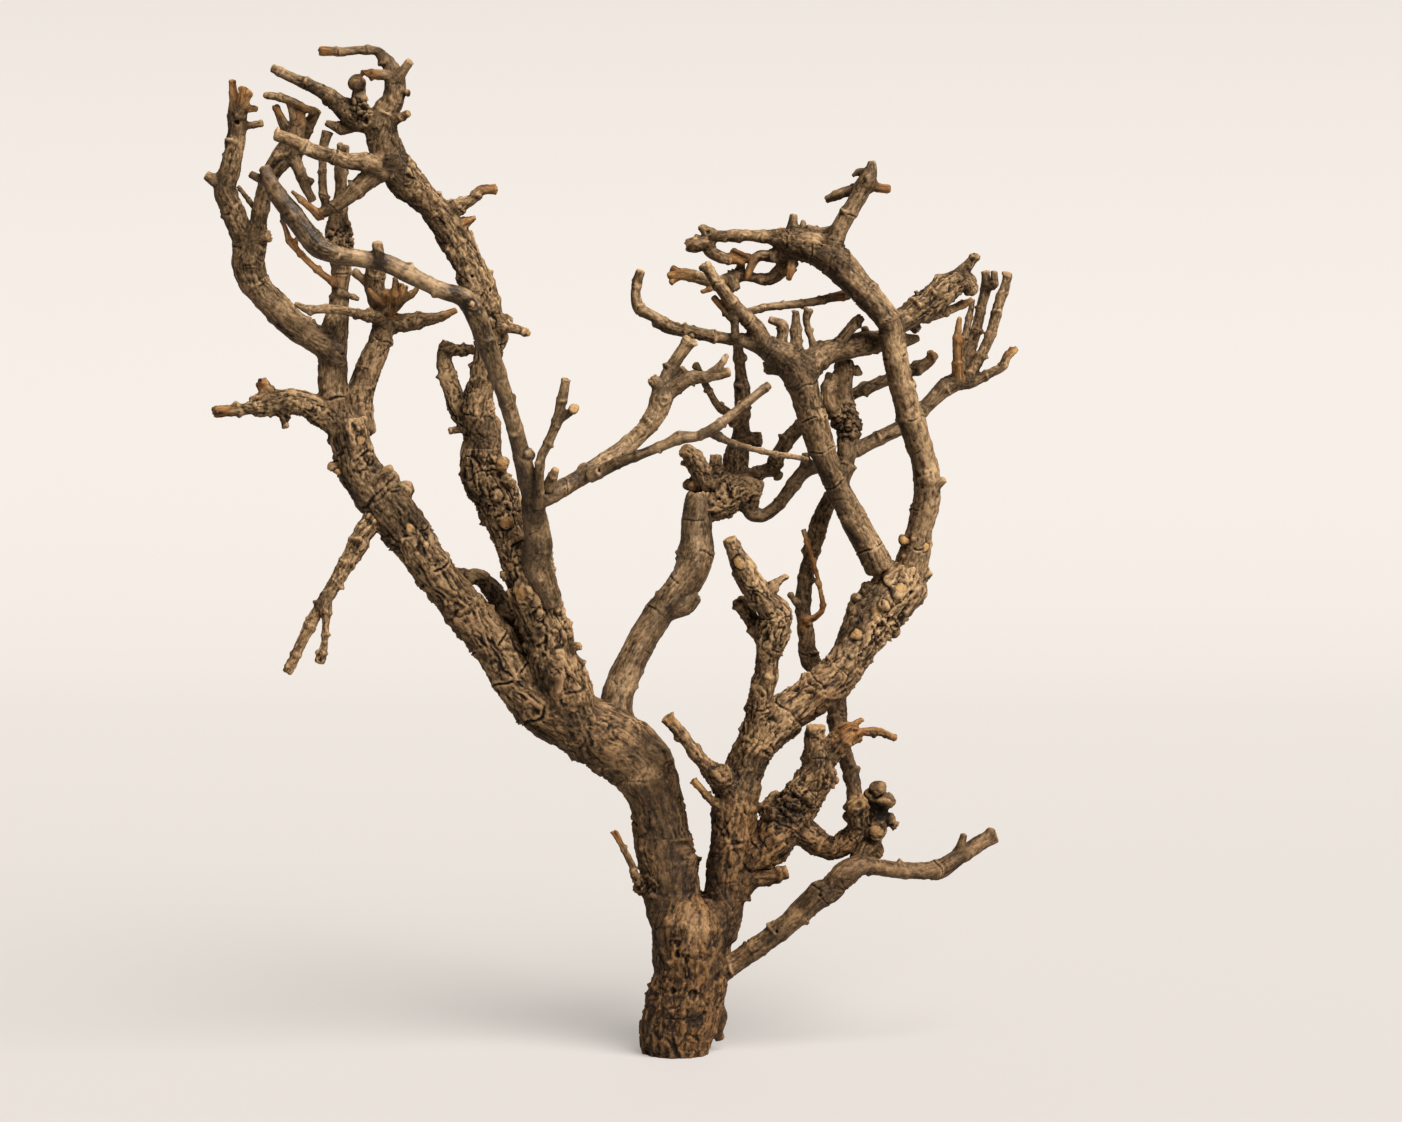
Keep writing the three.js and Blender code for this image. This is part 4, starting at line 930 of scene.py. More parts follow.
        # Painted highlight: streaks of lighter colour where the wood catches the light.
        elif mark.kind is Scar.LIT:
            streaks = step(-0.12, 0.22, noise.smooth(points[rows] / (1.7, 1.7, 3.2) + 3.0))
            tones["relief"][rows] += (0.1 + 0.75 * streaks) * fade
        elif mark.kind is Scar.DULL:
            tones["relief"][rows] -= 0.6 * fade
        elif mark.kind is Scar.ORANGE:
            tones["raw"][rows] = np.maximum(tones["raw"][rows], face)
            tones["cut"][rows] = np.minimum(np.maximum(tones["cut"][rows], 0.5 * face), 1 - 0.5 * face)
        elif mark.kind is Scar.ROUGH:
            first, second, own, _ = noise.cells(points[rows] / 1.7)
            chips = (own - 0.35) * 2.0 - 0.5 * (second - first < 0.15)
            height[rows] += (1 - step(0.8, 1.5, t)) * chips

    def write(self, mesh: bpy.types.Mesh, tones: Fields) -> None:
        """Stores the tones on the mesh.

        Args:
            mesh: Mesh of the skin.
            tones: One array for each tone, and the straightened place.
        """
        for name in Carver.stored:
            tone = mesh.attributes.new(name, "FLOAT", "POINT")
            tone.data.foreach_set("value", tones[name].astype(np.float32))
        grain = mesh.attributes.new("grain", "FLOAT_VECTOR", "POINT")
        grain.data.foreach_set("vector", (tones["grain"] * MM).astype(np.float32).ravel())

    def build(self, finish: "Finish") -> bpy.types.Object:
        """Makes the part, dresses it and puts it on the body.

        Args:
            finish: Its material.

        Returns:
            The finished object.
        """
        strands = self.strands()
        piece = self.skin(strands)
        self.carve(piece, strands)
        piece.data.materials.clear()
        piece.data.materials.append(finish.material(self.name))
        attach(piece, "root")
        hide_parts(*self.limbs)
        LOG.info("%s: %d faces over %d tubes", self.name, len(piece.data.polygons), len(strands))
        return piece


@dataclass
class MainFork(Piece):
    """The foot, the trunk, its two stems and the thick limbs that they carry."""

    name: str = "main_fork"
    slot: str = "warm_bark"
    voxel: float = 0.5
    triangles: int = 188000
    tips: dict[Tip, tuple[str, ...]] = field(default_factory=lambda: {
        Tip.SAWN: ("stem_right.stub_inner", "stem_right.stub_outer", "limb_b.stub", "left_fork.peg_left",
                   "left_fork.peg_right"),
        Tip.SNAPPED: ("stem_left.twig", "stem_right.broken_twig"),
    })
    marks: list[Row] = field(default_factory=lambda: [
        (Scar.PIT, 4.8, 18.4, 1.8), (Scar.PIT, -4, 20, 1.2), (Scar.PIT, 12.6, 24.3, 1.8),
        (Scar.PIT, -2.4, 34.5, 1.3), (Scar.PIT, -2.6, 31.6, 1.2), (Scar.WORN, 3, 42, 7),
        (Scar.LIT, 5, 44, 7), (Scar.DISC, 56, 136.8, 1.8), (Scar.DISC, 78, 156, 1.7),
        (Scar.DISC, 71.5, 152, 1.5), (Scar.DISC, -87.4, 170, 1.5), (Scar.DISC, -100.6, 171.2, 1.3),
        (Scar.DISC, -103.2, 198.5, 1.4), (Scar.DISC, -112.5, 187.5, 1.2), (Scar.KNOB, -53, 149.5, 3.4),
        (Scar.ORANGE, -53, 149.5, 2), (Scar.DISC, -56.6, 157.3, 1.5), (Scar.SHADE, -51.4, 134.4, 6),
        (Scar.SHADE, -45.6, 120, 5), (Scar.KNOB, -93, 184.5, 1.8), (Scar.KNOB, -100.5, 194, 1.8),
        (Scar.ROUGH, 68, 137, 5), (Scar.KNOB, 66, 146, 2.2), (Scar.WORN, -12, 92, 11),
        (Scar.KNOB, -46, 141, 2), (Scar.KNOB, 14.5, 90, 4.2), (Scar.SHADE, -3, 62, 6),
        (Scar.SHADE, -8, 72, 8), (Scar.SHADE, -10, 55, 5), (Scar.SHADE, -62, 150, 7),
        (Scar.SHADE, -85, 176, 6), (Scar.ORANGE, -2.2, 110.2, 2.8), (Scar.ROUGH, -12, 54, 4),
        (Scar.SWIRL, 44, 121, 4), (Scar.KNOB, 56.5, 148, 1.6), (Scar.ORANGE, 64, 144, 1.6),
        (Scar.SHADE, -12, 46, 5), (Scar.SHADE, -13, 6, 6),
    ])
    limbs: dict[str, Limb] = field(default_factory=lambda: {
        "trunk": Limb(1.0, Grain.FOOT, {
            "stem": [
                (-1.5, -3, 0, 10.2), (-1.5, 1, 0, 10.5), (-1.6, 6, 0, 11.8), (0.8, 15, 0, 12.6),
                (3, 25, 0, 11.8), (3, 33, 0, 12.3), (3.4, 41, 0, 13.4), (3.8, 45, 0, 11.4),
                (3.9, 48, 0, 9.8), (4, 50.5, 0, 7),
            ],
            "root_swelling": [(10.5, 5, 1, 2.2), (11.4, 12, 1, 3.2), (10.8, 19, 1, 2.4)],
        }),
        "stem_left": Limb(SLIM, Grain.STRANDED, {
            "stem": [
                (-1, 36, 0, 7.4), (-2.2, 44, 0, 8.6), (-3.3, 52, 0.5, 9.3), (-4.2, 60, 1, 9.5),
                (-6.5, 70, 1, 8.9), (-8, 80, 1, 8.7), (-11, 89, 0, 9.8),
            ],
            "flap": [(-3.6, 80, -2, 2.6), (-3.6, 86, -3, 3), (-4, 90.5, -3, 2.6)],
            "stub": [(-8, 54, 0, 3.2), (-15.2, 54.6, -1, 2.8)],
            "twig": [
                (-12, 55, -1, 2), (-15, 57, -2, 1.6), (-16, 60, -2, 1.2), (-20, 68, -3, 0.9),
                (-22.2, 72, -3, 1.1),
            ],
        }),
        "stem_right": Limb(DEEP, Grain.KNOTTY, {
            "stem": [
                (11, 38, 0, 6.8), (12.6, 44, 0, 6.8), (13.9, 51, 0, 6.4), (14.5, 60, 0, 6.5),
                (17, 70, 0, 6.8), (17.5, 80, 0, 7.2), (19.5, 90, 1, 6.2), (22, 96, 1, 6),
            ],
            "stub_inner": [
                (14, 87, -3, 4.5), (11, 90, -6, 3.4), (8, 93, -8, 2.3), (4, 98, -11, 1.9),
                (0, 103, -13, 1.8), (-5, 109, -15, 2.1),
            ],
            "broken_twig": [(12, 80, -4, 1.8), (8.5, 83, -7, 1.3), (3.5, 88.5, -8, 0.9)],
            "swelling": [(18, 50, -1, 3.5), (20, 56, -2, 4.4), (21.5, 63, -1, 4.4), (19, 70, 0, 3)],
            "stub_outer": [(22, 56, -3, 3.2), (28.5, 57, -5, 2.5), (34.5, 58.7, -6, 1.8)],
            "spur": [(22, 79.2, -1, 1.4), (27, 80.5, -2, 0.8)],
        }),
        "limb_left": Limb(SLIM, Grain.SLABBED, {
            "limb": [
                (-11.3, 87, 0, 9.6), (-13.5, 93.5, 0, 10.4), (-20, 99, -1, 10.9), (-30, 104.8, -3, 10.4),
                (-43.3, 112, -6, 9.2), (-52.8, 120.8, -8, 7.7), (-60, 131, -10, 6.9), (-68, 140.5, -12, 6.5),
                (-76, 150.5, -14, 6.2), (-83.3, 160, -16, 6.3), (-89.5, 169.5, -18, 6.7),
                (-95, 176, -20, 7.4), (-100, 182, -21, 7.2),
            ],
            "elbow": [(-16, 97, -3, 5.5), (-9, 97.5, -4, 4.6), (-5.6, 92.5, -4, 3.4)],
        }, knobs=[(-90, 182.5, -19, 2.6)]),
        "left_fork": Limb(SLIM, Grain.SCALY, {
            "fork": [
                (-98.5, 180, -21, 7.2), (-102.5, 186, -22, 7), (-105.5, 191, -23, 6.8),
                (-107.2, 196, -24, 6.4), (-108.3, 201, -25, 6.6), (-109, 205, -25, 5.6),
            ],
            "peg_left": [(-108, 188, -24, 2.1), (-115, 190.8, -26, 1.5)],
            "peg_right": [(-99.5, 187, -25, 1.7), (-94.2, 190.2, -27, 1.2)],
        }, knobs=[(-94.5, 186, -21, 2.2)]),
        "limb_c": Limb(DEEP, Grain.KNOTTY, {
            "limb": [
                (20.5, 93, 1, 6.1), (24, 99.5, 1, 6), (34, 110, 2, 6.4), (42, 115.5, 3, 6.2),
                (50, 122, 4, 6), (55, 129, 6, 6.4), (59.5, 137, 8, 7.2), (66, 145.5, 10, 7.6),
                (71, 151.5, 11, 7.8), (73.5, 155.5, 12, 6.6),
            ],
            "shoulder": [
                (54.2, 131, 6, 4.2), (56.2, 137.5, 6, 4.2), (58.5, 143.5, 8, 4.1), (63.4, 150, 9, 4.4),
            ],
            "right_lump": [(74, 154.5, 12, 4), (79.8, 157.5, 11, 3)],
        }, knobs=[(57.2, 147.8, 8, 2), (68, 137.5, 9, 2.7)]),
        "limb_b": Limb(SLIM, Grain.KNOTTY, {
            "limb": [
                (-34.5, 108, -5, 8.5), (-37.5, 115, -7, 8.7), (-41, 124, -10, 7.9), (-44, 136, -13, 7.3),
                (-47.5, 147, -16, 7.5), (-49.5, 157, -18, 7.9), (-50.5, 162, -19, 7),
            ],
            "bridge": [
                (-48, 127, -8, 3.4), (-52.5, 135.5, -5, 3.2), (-57, 143, -3, 3.1), (-61, 149.5, -2, 2.9),
                (-65.5, 154, -2, 2.5), (-70, 155, -3, 2), (-74, 156.3, -4, 1.4),
            ],
            "stub": [(-38, 130.7, -13, 1.9), (-32.6, 132, -14, 1.2)],
        }, knobs=[(-54.5, 149.5, -19, 3), (-56.6, 154.8, -19, 2.6)]),
        "limb_m": Limb(DEEP, Grain.SMOOTH, {
            "limb": [
                (-23, 104, 1, 5.6), (-21.5, 112, 3, 5.4), (-19.6, 119.5, 5, 4.8), (-15.8, 128.5, 7, 4.7),
                (-11.6, 136, 9, 4.6), (-6.2, 144, 11, 4.9), (-0.6, 150.5, 13, 5.1), (3, 156.5, 15, 5.4),
                (4.5, 163, 17, 5.6), (4.8, 170, 18, 5), (5.2, 176, 19, 4.6), (5.6, 181, 20, 3.8),
            ],
            "shelf": [(-4, 142.5, 9, 2.6), (1, 145.6, 10, 3.6), (4.6, 148.5, 12, 2.6)],
        }, knobs=[(8.8, 165.5, 17, 2.2)]),
    })


@dataclass
class LeftCrown(Piece):
    """The tall outer boughs of the left crown, with the twig that hangs below them."""

    name: str = "left_crown"
    slot: str = "bark"
    voxel: float = 0.45
    triangles: int = 115000
    tips: dict[Tip, tuple[str, ...]] = field(default_factory=lambda: {
        Tip.RAW: ("bough_a1.splinter", "bough_a1.splinter_side", "bough_a2.rosette_mid",
                  "bough_s1.splinter_low"),
        Tip.SNAPPED: ("bough_a2.rosette", "bough_a2.rosette_side", "bough_a2.rosette_low",
                      "bough_a2.broken_cluster", "bough_s1.bough", "bough_s1.splinter_mid",
                      "bough_s1.splinter_right", "bough_s2.plate_left", "bough_s2.bar", "bough_s2.bough",
                      "left_bough.bough", "left_bough.broken", "bough_a2.cross_arm"),
        Tip.SAWN: ("bough_s1.peg", "bough_s1.side_stub", "hanging_twig.side_twig"),
    })
    marks: list[Row] = field(default_factory=lambda: [
        (Scar.PIT, -145.8, 302, 0.8), (Scar.PIT, -117.6, 126.7, 0.7), (Scar.ROUGH, -110, 265, 4.5),
        (Scar.PIT, -113, 262, 0.8), (Scar.SWIRL, -141, 258, 3.5), (Scar.ORANGE, -95.5, 246.5, 2),
    ])
    limbs: dict[str, Limb] = field(default_factory=lambda: {
        "left_bough": Limb(SLIM, Grain.KNOTTY, {
            "bough": [
                (-106, 198.5, -25, 4.2), (-113, 204.3, -27, 4), (-120, 210, -28, 4), (-126, 211.2, -29, 3.9),
                (-131.5, 211, -30, 4.2), (-137, 210.4, -31, 3.6), (-139, 209.6, -32, 2.2),
                (-145, 208.7, -33, 1.9), (-152.3, 208, -34, 2),
            ],
            "broken": [(-133, 212, -30, 3.2), (-136, 216.5, -30, 2), (-136.4, 218.8, -30, 0.9)],
            "stub_under": [(-129.6, 208, -30, 1.8), (-128.8, 202.6, -30, 0.9)],
        }),
        "hanging_twig": Limb(SLIM, Grain.SCALY, {
            "twig": [
                (-99, 174, -22, 3.2), (-103.5, 168.6, -24, 3.2), (-106, 164, -25, 3.2),
                (-108.5, 159.5, -26, 2.6), (-112, 154, -27, 2.3), (-114.8, 149, -28, 2.3),
                (-119, 142, -29, 1.9), (-122.2, 136, -30, 1.8), (-125, 130.5, -31, 1.7),
                (-128.3, 123.2, -32, 1.6),
            ],
            "side_twig": [
                (-115.4, 149, -28, 1.9), (-115.8, 143.5, -30, 1.8), (-115.8, 139, -31, 1.2),
                (-116, 134, -32, 1.1), (-116.6, 130.5, -33, 1.3), (-118, 126.3, -34, 1.8),
            ],
        }),
        "bough_a1": Limb(SLIM, Grain.LEAN, {
            "bough": [
                (-108.6, 202, -25, 5.2), (-112.5, 210, -26, 4.7), (-113.4, 220, -27, 4.8),
                (-113.5, 230, -27, 4.9), (-112.5, 237, -27, 4), (-111.3, 245, -26, 2.7),
                (-111, 255, -25, 2.8), (-111.4, 261, -25, 4), (-111.5, 266, -24, 4.3),
                (-111.5, 272, -24, 2.9), (-110.8, 280, -23, 1.9), (-110.8, 288, -23, 1.9),
                (-110, 295, -23, 2),
            ],
            "splinter": [
                (-113, 250, -27, 1.4), (-117, 253, -29, 1.1), (-121, 256.5, -31, 1), (-125, 260.5, -32, 1.1),
                (-127.3, 263.5, -33, 1.2), (-129, 268, -33, 0.8), (-130.3, 271, -33, 0.5),
            ],
            "link": [(-112, 247, -28, 1.5), (-108, 245.8, -27, 0.9), (-104.8, 244.6, -26, 0.8)],
            "splinter_side": [(-126, 261, -32, 1), (-125, 265, -32, 0.7)],
            "spur": [(-110, 268.7, -25, 1.4), (-107.8, 269.3, -26, 1.2)],
        }),
        "bough_a2": Limb(SLIM, Grain.STRANDED, {
            "bough": [
                (-104, 201, -23, 4.4), (-104.8, 209, -21, 4.3), (-104, 216, -19, 4.2), (-101.5, 223, -18, 4),
                (-98.5, 230, -17, 3.5), (-97, 237, -17, 3.8), (-97.7, 242, -17, 3.7), (-99.8, 248, -17, 3.3),
                (-99.6, 256, -17, 3.1),
            ],
            "cross_arm": [
                (-97, 237.5, -17, 3.2), (-90, 237, -16, 3), (-84, 237.8, -16, 2.2), (-79, 238.8, -15, 1.6),
                (-73, 241.3, -14, 0.9),
            ],
            "broken_cluster": [(-96, 241, -19, 2.6), (-92, 245, -20, 2.5), (-90.4, 249.3, -20, 1.5)],
            "rosette": [(-97, 243, -19, 2.4), (-95.3, 247, -22, 1.6)],
            "front_twig": [
                (-98, 238.5, -19, 2.2), (-105, 239.8, -29, 1.5), (-110, 241, -36, 1.3),
                (-116, 241.6, -37, 1.4), (-121, 241.3, -37, 1.3), (-126, 243.3, -38, 0.8),
            ],
            "rear_stub": [(-101, 249, -17, 2), (-104, 251.5, -17, 1.4), (-107, 254, -17, 1.1)],
            "rosette_mid": [(-93.6, 244, -21, 2), (-93, 249, -23, 1.2), (-93.4, 252, -24, 0.6)],
            "rosette_side": [(-92, 244, -20, 1.6), (-87, 247, -21, 1), (-85.2, 250, -21, 0.5)],
            "rosette_low": [(-96, 243, -20, 1.6), (-100, 245.4, -22, 0.9), (-102, 248.4, -22, 0.5)],
        }),
        "bough_s": Limb(SLIM, Grain.LEAN, {
            "bough": [
                (-112, 226.5, -28, 4.6), (-118, 231, -29, 4.5), (-127, 237.3, -30, 4.4),
                (-133, 243.3, -32, 4.3), (-138.5, 249.5, -33, 4.6), (-140.8, 255, -34, 5.5),
                (-141, 259, -34, 5.5), (-140.5, 263, -34, 4.6),
            ],
        }),
        "bough_s1": Limb(SLIM, Grain.STRANDED, {
            "bough": [
                (-141.3, 261, -34, 4.3), (-143.6, 267, -35, 3.8), (-146.6, 275, -36, 3.6),
                (-148.6, 281, -37, 3.6), (-147.2, 285, -37, 3.4), (-146, 291, -38, 3.1),
                (-144.8, 298, -38, 2.9), (-144.5, 304, -39, 3.2), (-145.3, 309, -39, 1.9),
                (-146.2, 316, -40, 0.9),
            ],
            "splinter_mid": [(-143.7, 304, -40, 2.2), (-143, 309, -41, 1.7), (-142.6, 314, -41, 1.1)],
            "splinter_right": [(-142.5, 307.5, -41, 1.5), (-140.3, 312.5, -41, 1.1)],
            "peg": [(-143, 300.7, -38, 1.4), (-136, 302, -39, 1.1)],
            "side_stub": [(-147, 281, -37, 2.3), (-151.5, 283, -38, 2), (-154.8, 285.2, -38, 1.4)],
            "splinter_low": [(-143, 307, -40, 1.5), (-138, 306.5, -41, 1)],
        }, knobs=[(-149, 291.7, -38, 1.4)]),
        "bough_s2": Limb(SLIM, Grain.STRANDED, {
            "bough": [
                (-139.2, 261, -35, 4.2), (-137.7, 270, -37, 2.8), (-136, 278, -38, 2.6),
                (-133.8, 285, -39, 2.7), (-130.5, 289.8, -40, 3.3), (-127.4, 293, -40, 4.3),
                (-126, 298, -41, 3.3), (-124.2, 303.5, -41, 2), (-123.5, 307.5, -41, 1),
            ],
            "plate_left": [(-127, 297.5, -41, 2.2), (-129.6, 302, -42, 1.6), (-132.2, 307.8, -42, 0.8)],
            "plate_mid": [(-125.6, 299, -41, 1.7), (-126.2, 303.5, -42, 1.2), (-127.6, 308.2, -43, 1)],
            "bar": [
                (-135.5, 311, -44, 1.1), (-131, 310.3, -44, 1.2), (-126.5, 308.8, -43, 1.4),
                (-122.5, 306.8, -42, 1.3), (-119.3, 305.5, -42, 1.4),
            ],
            "prop": [(-126, 290.5, -41, 2.1), (-122.6, 282, -40, 1.8), (-120, 276.6, -38, 1.2)],
            "dark_stub": [(-139, 264.5, -37, 2.4), (-133.8, 265.3, -38, 2)],
            "thin_link": [(-138.3, 273.5, -37, 1), (-144.3, 281.4, -34, 0.7)],
            "prop_knob": [(-122.8, 283.5, -40, 1.5), (-119.7, 282.8, -39, 1.1)],
            "plate_fill": [(-124, 296, -39, 2), (-124.6, 302, -40, 1.8), (-125, 308, -41, 1.3)],
            "plate_side": [(-123.5, 296, -39, 2), (-121, 302, -39, 1.9), (-118.5, 306.5, -39, 1.5)],
        }),
    })


@dataclass
class MiddleCrown(Piece):
    """The long arched bough of the left crown and the twigs at its head."""

    name: str = "middle_crown"
    slot: str = "bark"
    voxel: float = 0.42
    triangles: int = 115000
    tips: dict[Tip, tuple[str, ...]] = field(default_factory=lambda: {
        Tip.SAWN: ("crown_arm.arm", "crown_low.upright", "crown_left.peg_low", "bough_z.twig_right",
                   "crown_low.upper", "crown_low.lower"),
        Tip.RAW: ("crown_low.sliver",),
        Tip.SNAPPED: ("crown_left.top_twig", "bough_z.branch_right", "crown_left.jag", "bough_z.splinter"),
    })
    marks: list[Row] = field(default_factory=lambda: [
        (Scar.KNOB, -56, 172.3, 2.6), (Scar.ORANGE, -56, 172.3, 2), (Scar.ORANGE, -58, 192, 2),
        (Scar.ORANGE, -58.5, 188, 1.8), (Scar.SWIRL, -64, 196, 4), (Scar.KNOB, -60, 180, 2),
        (Scar.DULL, -104, 316, 3), (Scar.PIT, -103, 317, 0.5), (Scar.ROUGH, -104, 305.5, 3),
        (Scar.PIT, -101.5, 303, 1), (Scar.KNOB, -63, 236, 1.8),
    ])
    limbs: dict[str, Limb] = field(default_factory=lambda: {
        "bough_b1": Limb(SLIM, Grain.KNOTTY, {
            "bough": [
                (-51.8, 159.5, -18, 6.6), (-55, 166, -18, 5.8), (-57.6, 172, -19, 5.7),
                (-60.5, 180, -20, 6.9), (-63.7, 186, -21, 7.2), (-65, 193, -22, 7), (-64.8, 200, -23, 5.8),
                (-65, 206, -24, 5.6),
            ],
            "peg_left": [(-70, 203, -24, 1.6), (-75.8, 201.6, -25, 0.8)],
            "peg_right": [(-58, 186, -24, 2), (-54.6, 184.4, -26, 1.4)],
            "side_bough": [
                (-69, 203.5, -24, 3.4), (-72.5, 209, -23, 3.1), (-74.5, 215, -22, 2.9),
                (-76.6, 222, -21, 2.7), (-77.2, 227, -21, 2.4), (-76, 231, -21, 1.9),
            ],
            "side_twig": [(-76, 228, -22, 1.9), (-70.5, 228.2, -23, 1.7), (-67.6, 228.5, -24, 1.4)],
        }, knobs=[(-58.3, 191, -26, 2)]),
        "bough_z": Limb(SLIM, Grain.SCALY, {
            "bough": [
                (-65.4, 203.5, -24, 5.2), (-66.6, 211, -26, 4.6), (-64.2, 221, -28, 4.2),
                (-62.3, 231, -30, 4.6), (-63, 240, -32, 4.7), (-66.8, 250, -34, 5), (-71.5, 260, -36, 4.8),
                (-77, 269.5, -38, 4.8), (-85, 278.5, -40, 4.9), (-91, 285, -42, 5.3), (-95, 290.5, -43, 5.6),
                (-97, 296, -44, 5.5), (-97.7, 301, -45, 5),
            ],
            "twig_right": [(-59, 236, -33, 2.2), (-54, 235, -35, 1.4), (-49.5, 233.3, -37, 1.1)],
            "branch_right": [
                (-75, 273, -38, 2.8), (-71.5, 275.5, -38, 2.3), (-68, 277.2, -38, 1.7),
                (-65, 280.2, -38, 1.6), (-60, 280.4, -38, 1.2),
            ],
            "splinter": [(-71.5, 269, -38, 2.2), (-67, 271.2, -39, 0.6)],
        }, knobs=[(-58.4, 238, -31, 2.6)]),
        "crown_left": Limb(SLIM, Grain.LEAN, {
            "stem": [
                (-97.7, 299, -45, 4.9), (-96.2, 305, -45, 4.3), (-93.8, 310, -46, 3.4),
                (-93.4, 317, -46, 3.4), (-95, 320.5, -46, 2.4), (-98.5, 325, -47, 1.7),
            ],
            "top_twig": [
                (-98, 325.2, -47, 1.5), (-104, 325.7, -48, 1.3), (-111, 325.1, -49, 1.4),
                (-118, 325.4, -50, 1.6),
            ],
            "jag": [(-94, 317.5, -47, 2), (-100, 317.8, -49, 1.6), (-104.5, 318.7, -50, 0.5)],
            "peg_high": [(-92.5, 316.5, -47, 2.1), (-88.2, 322.2, -49, 1.2)],
            "peg_low": [(-94.5, 302, -46, 1.8), (-88.5, 305.4, -49, 1.1)],
        }, knobs=[(-89.6, 311.6, -47, 1.4)]),
        "crown_arm": Limb(SLIM, Grain.LEAN, {
            "arm": [
                (-99.5, 301, -45, 3.8), (-106, 304.3, -46, 4.6), (-110.5, 307.2, -46, 3.2),
                (-115, 311, -46, 2.3), (-121, 314.3, -46, 1.9), (-127, 316.8, -46, 1.7),
                (-133.5, 320, -46, 1.4),
            ],
            "stub_under": [(-105, 301.5, -45, 2.6), (-111, 300.5, -45, 1.9), (-116, 302.1, -45, 0.9)],
            "head": [(-105, 306.5, -48, 2.4), (-104.8, 313.4, -49, 2)],
        }, knobs=[(-105.6, 314.8, -50, 3)]),
        "crown_low": Limb(SLIM, Grain.LEAN, {
            "upper": [
                (-98, 287.5, -47, 3.4), (-104, 289.2, -49, 3), (-109, 289.6, -50, 2.4),
                (-114, 291.3, -51, 2.3), (-120, 293, -52, 2.3), (-126, 296, -53, 2),
                (-132.5, 298.4, -54, 1.7),
            ],
            "lower": [
                (-97.5, 287, -46, 3.8), (-103, 283, -46, 3.2), (-109, 277.6, -45, 2.3),
                (-114, 274.3, -44, 2), (-119.3, 271.6, -43, 1.9),
            ],
            "upright": [
                (-115.6, 274.5, -43, 1.5), (-116.6, 280, -43, 1.4), (-116.8, 287, -43, 1.3),
                (-116.3, 295, -43, 1.6), (-115.1, 299.3, -43, 1.8),
            ],
            "sliver": [(-119, 273, -44, 1.5), (-123.5, 276.8, -45, 0.9), (-127, 280, -46, 0.5)],
        }),
    })


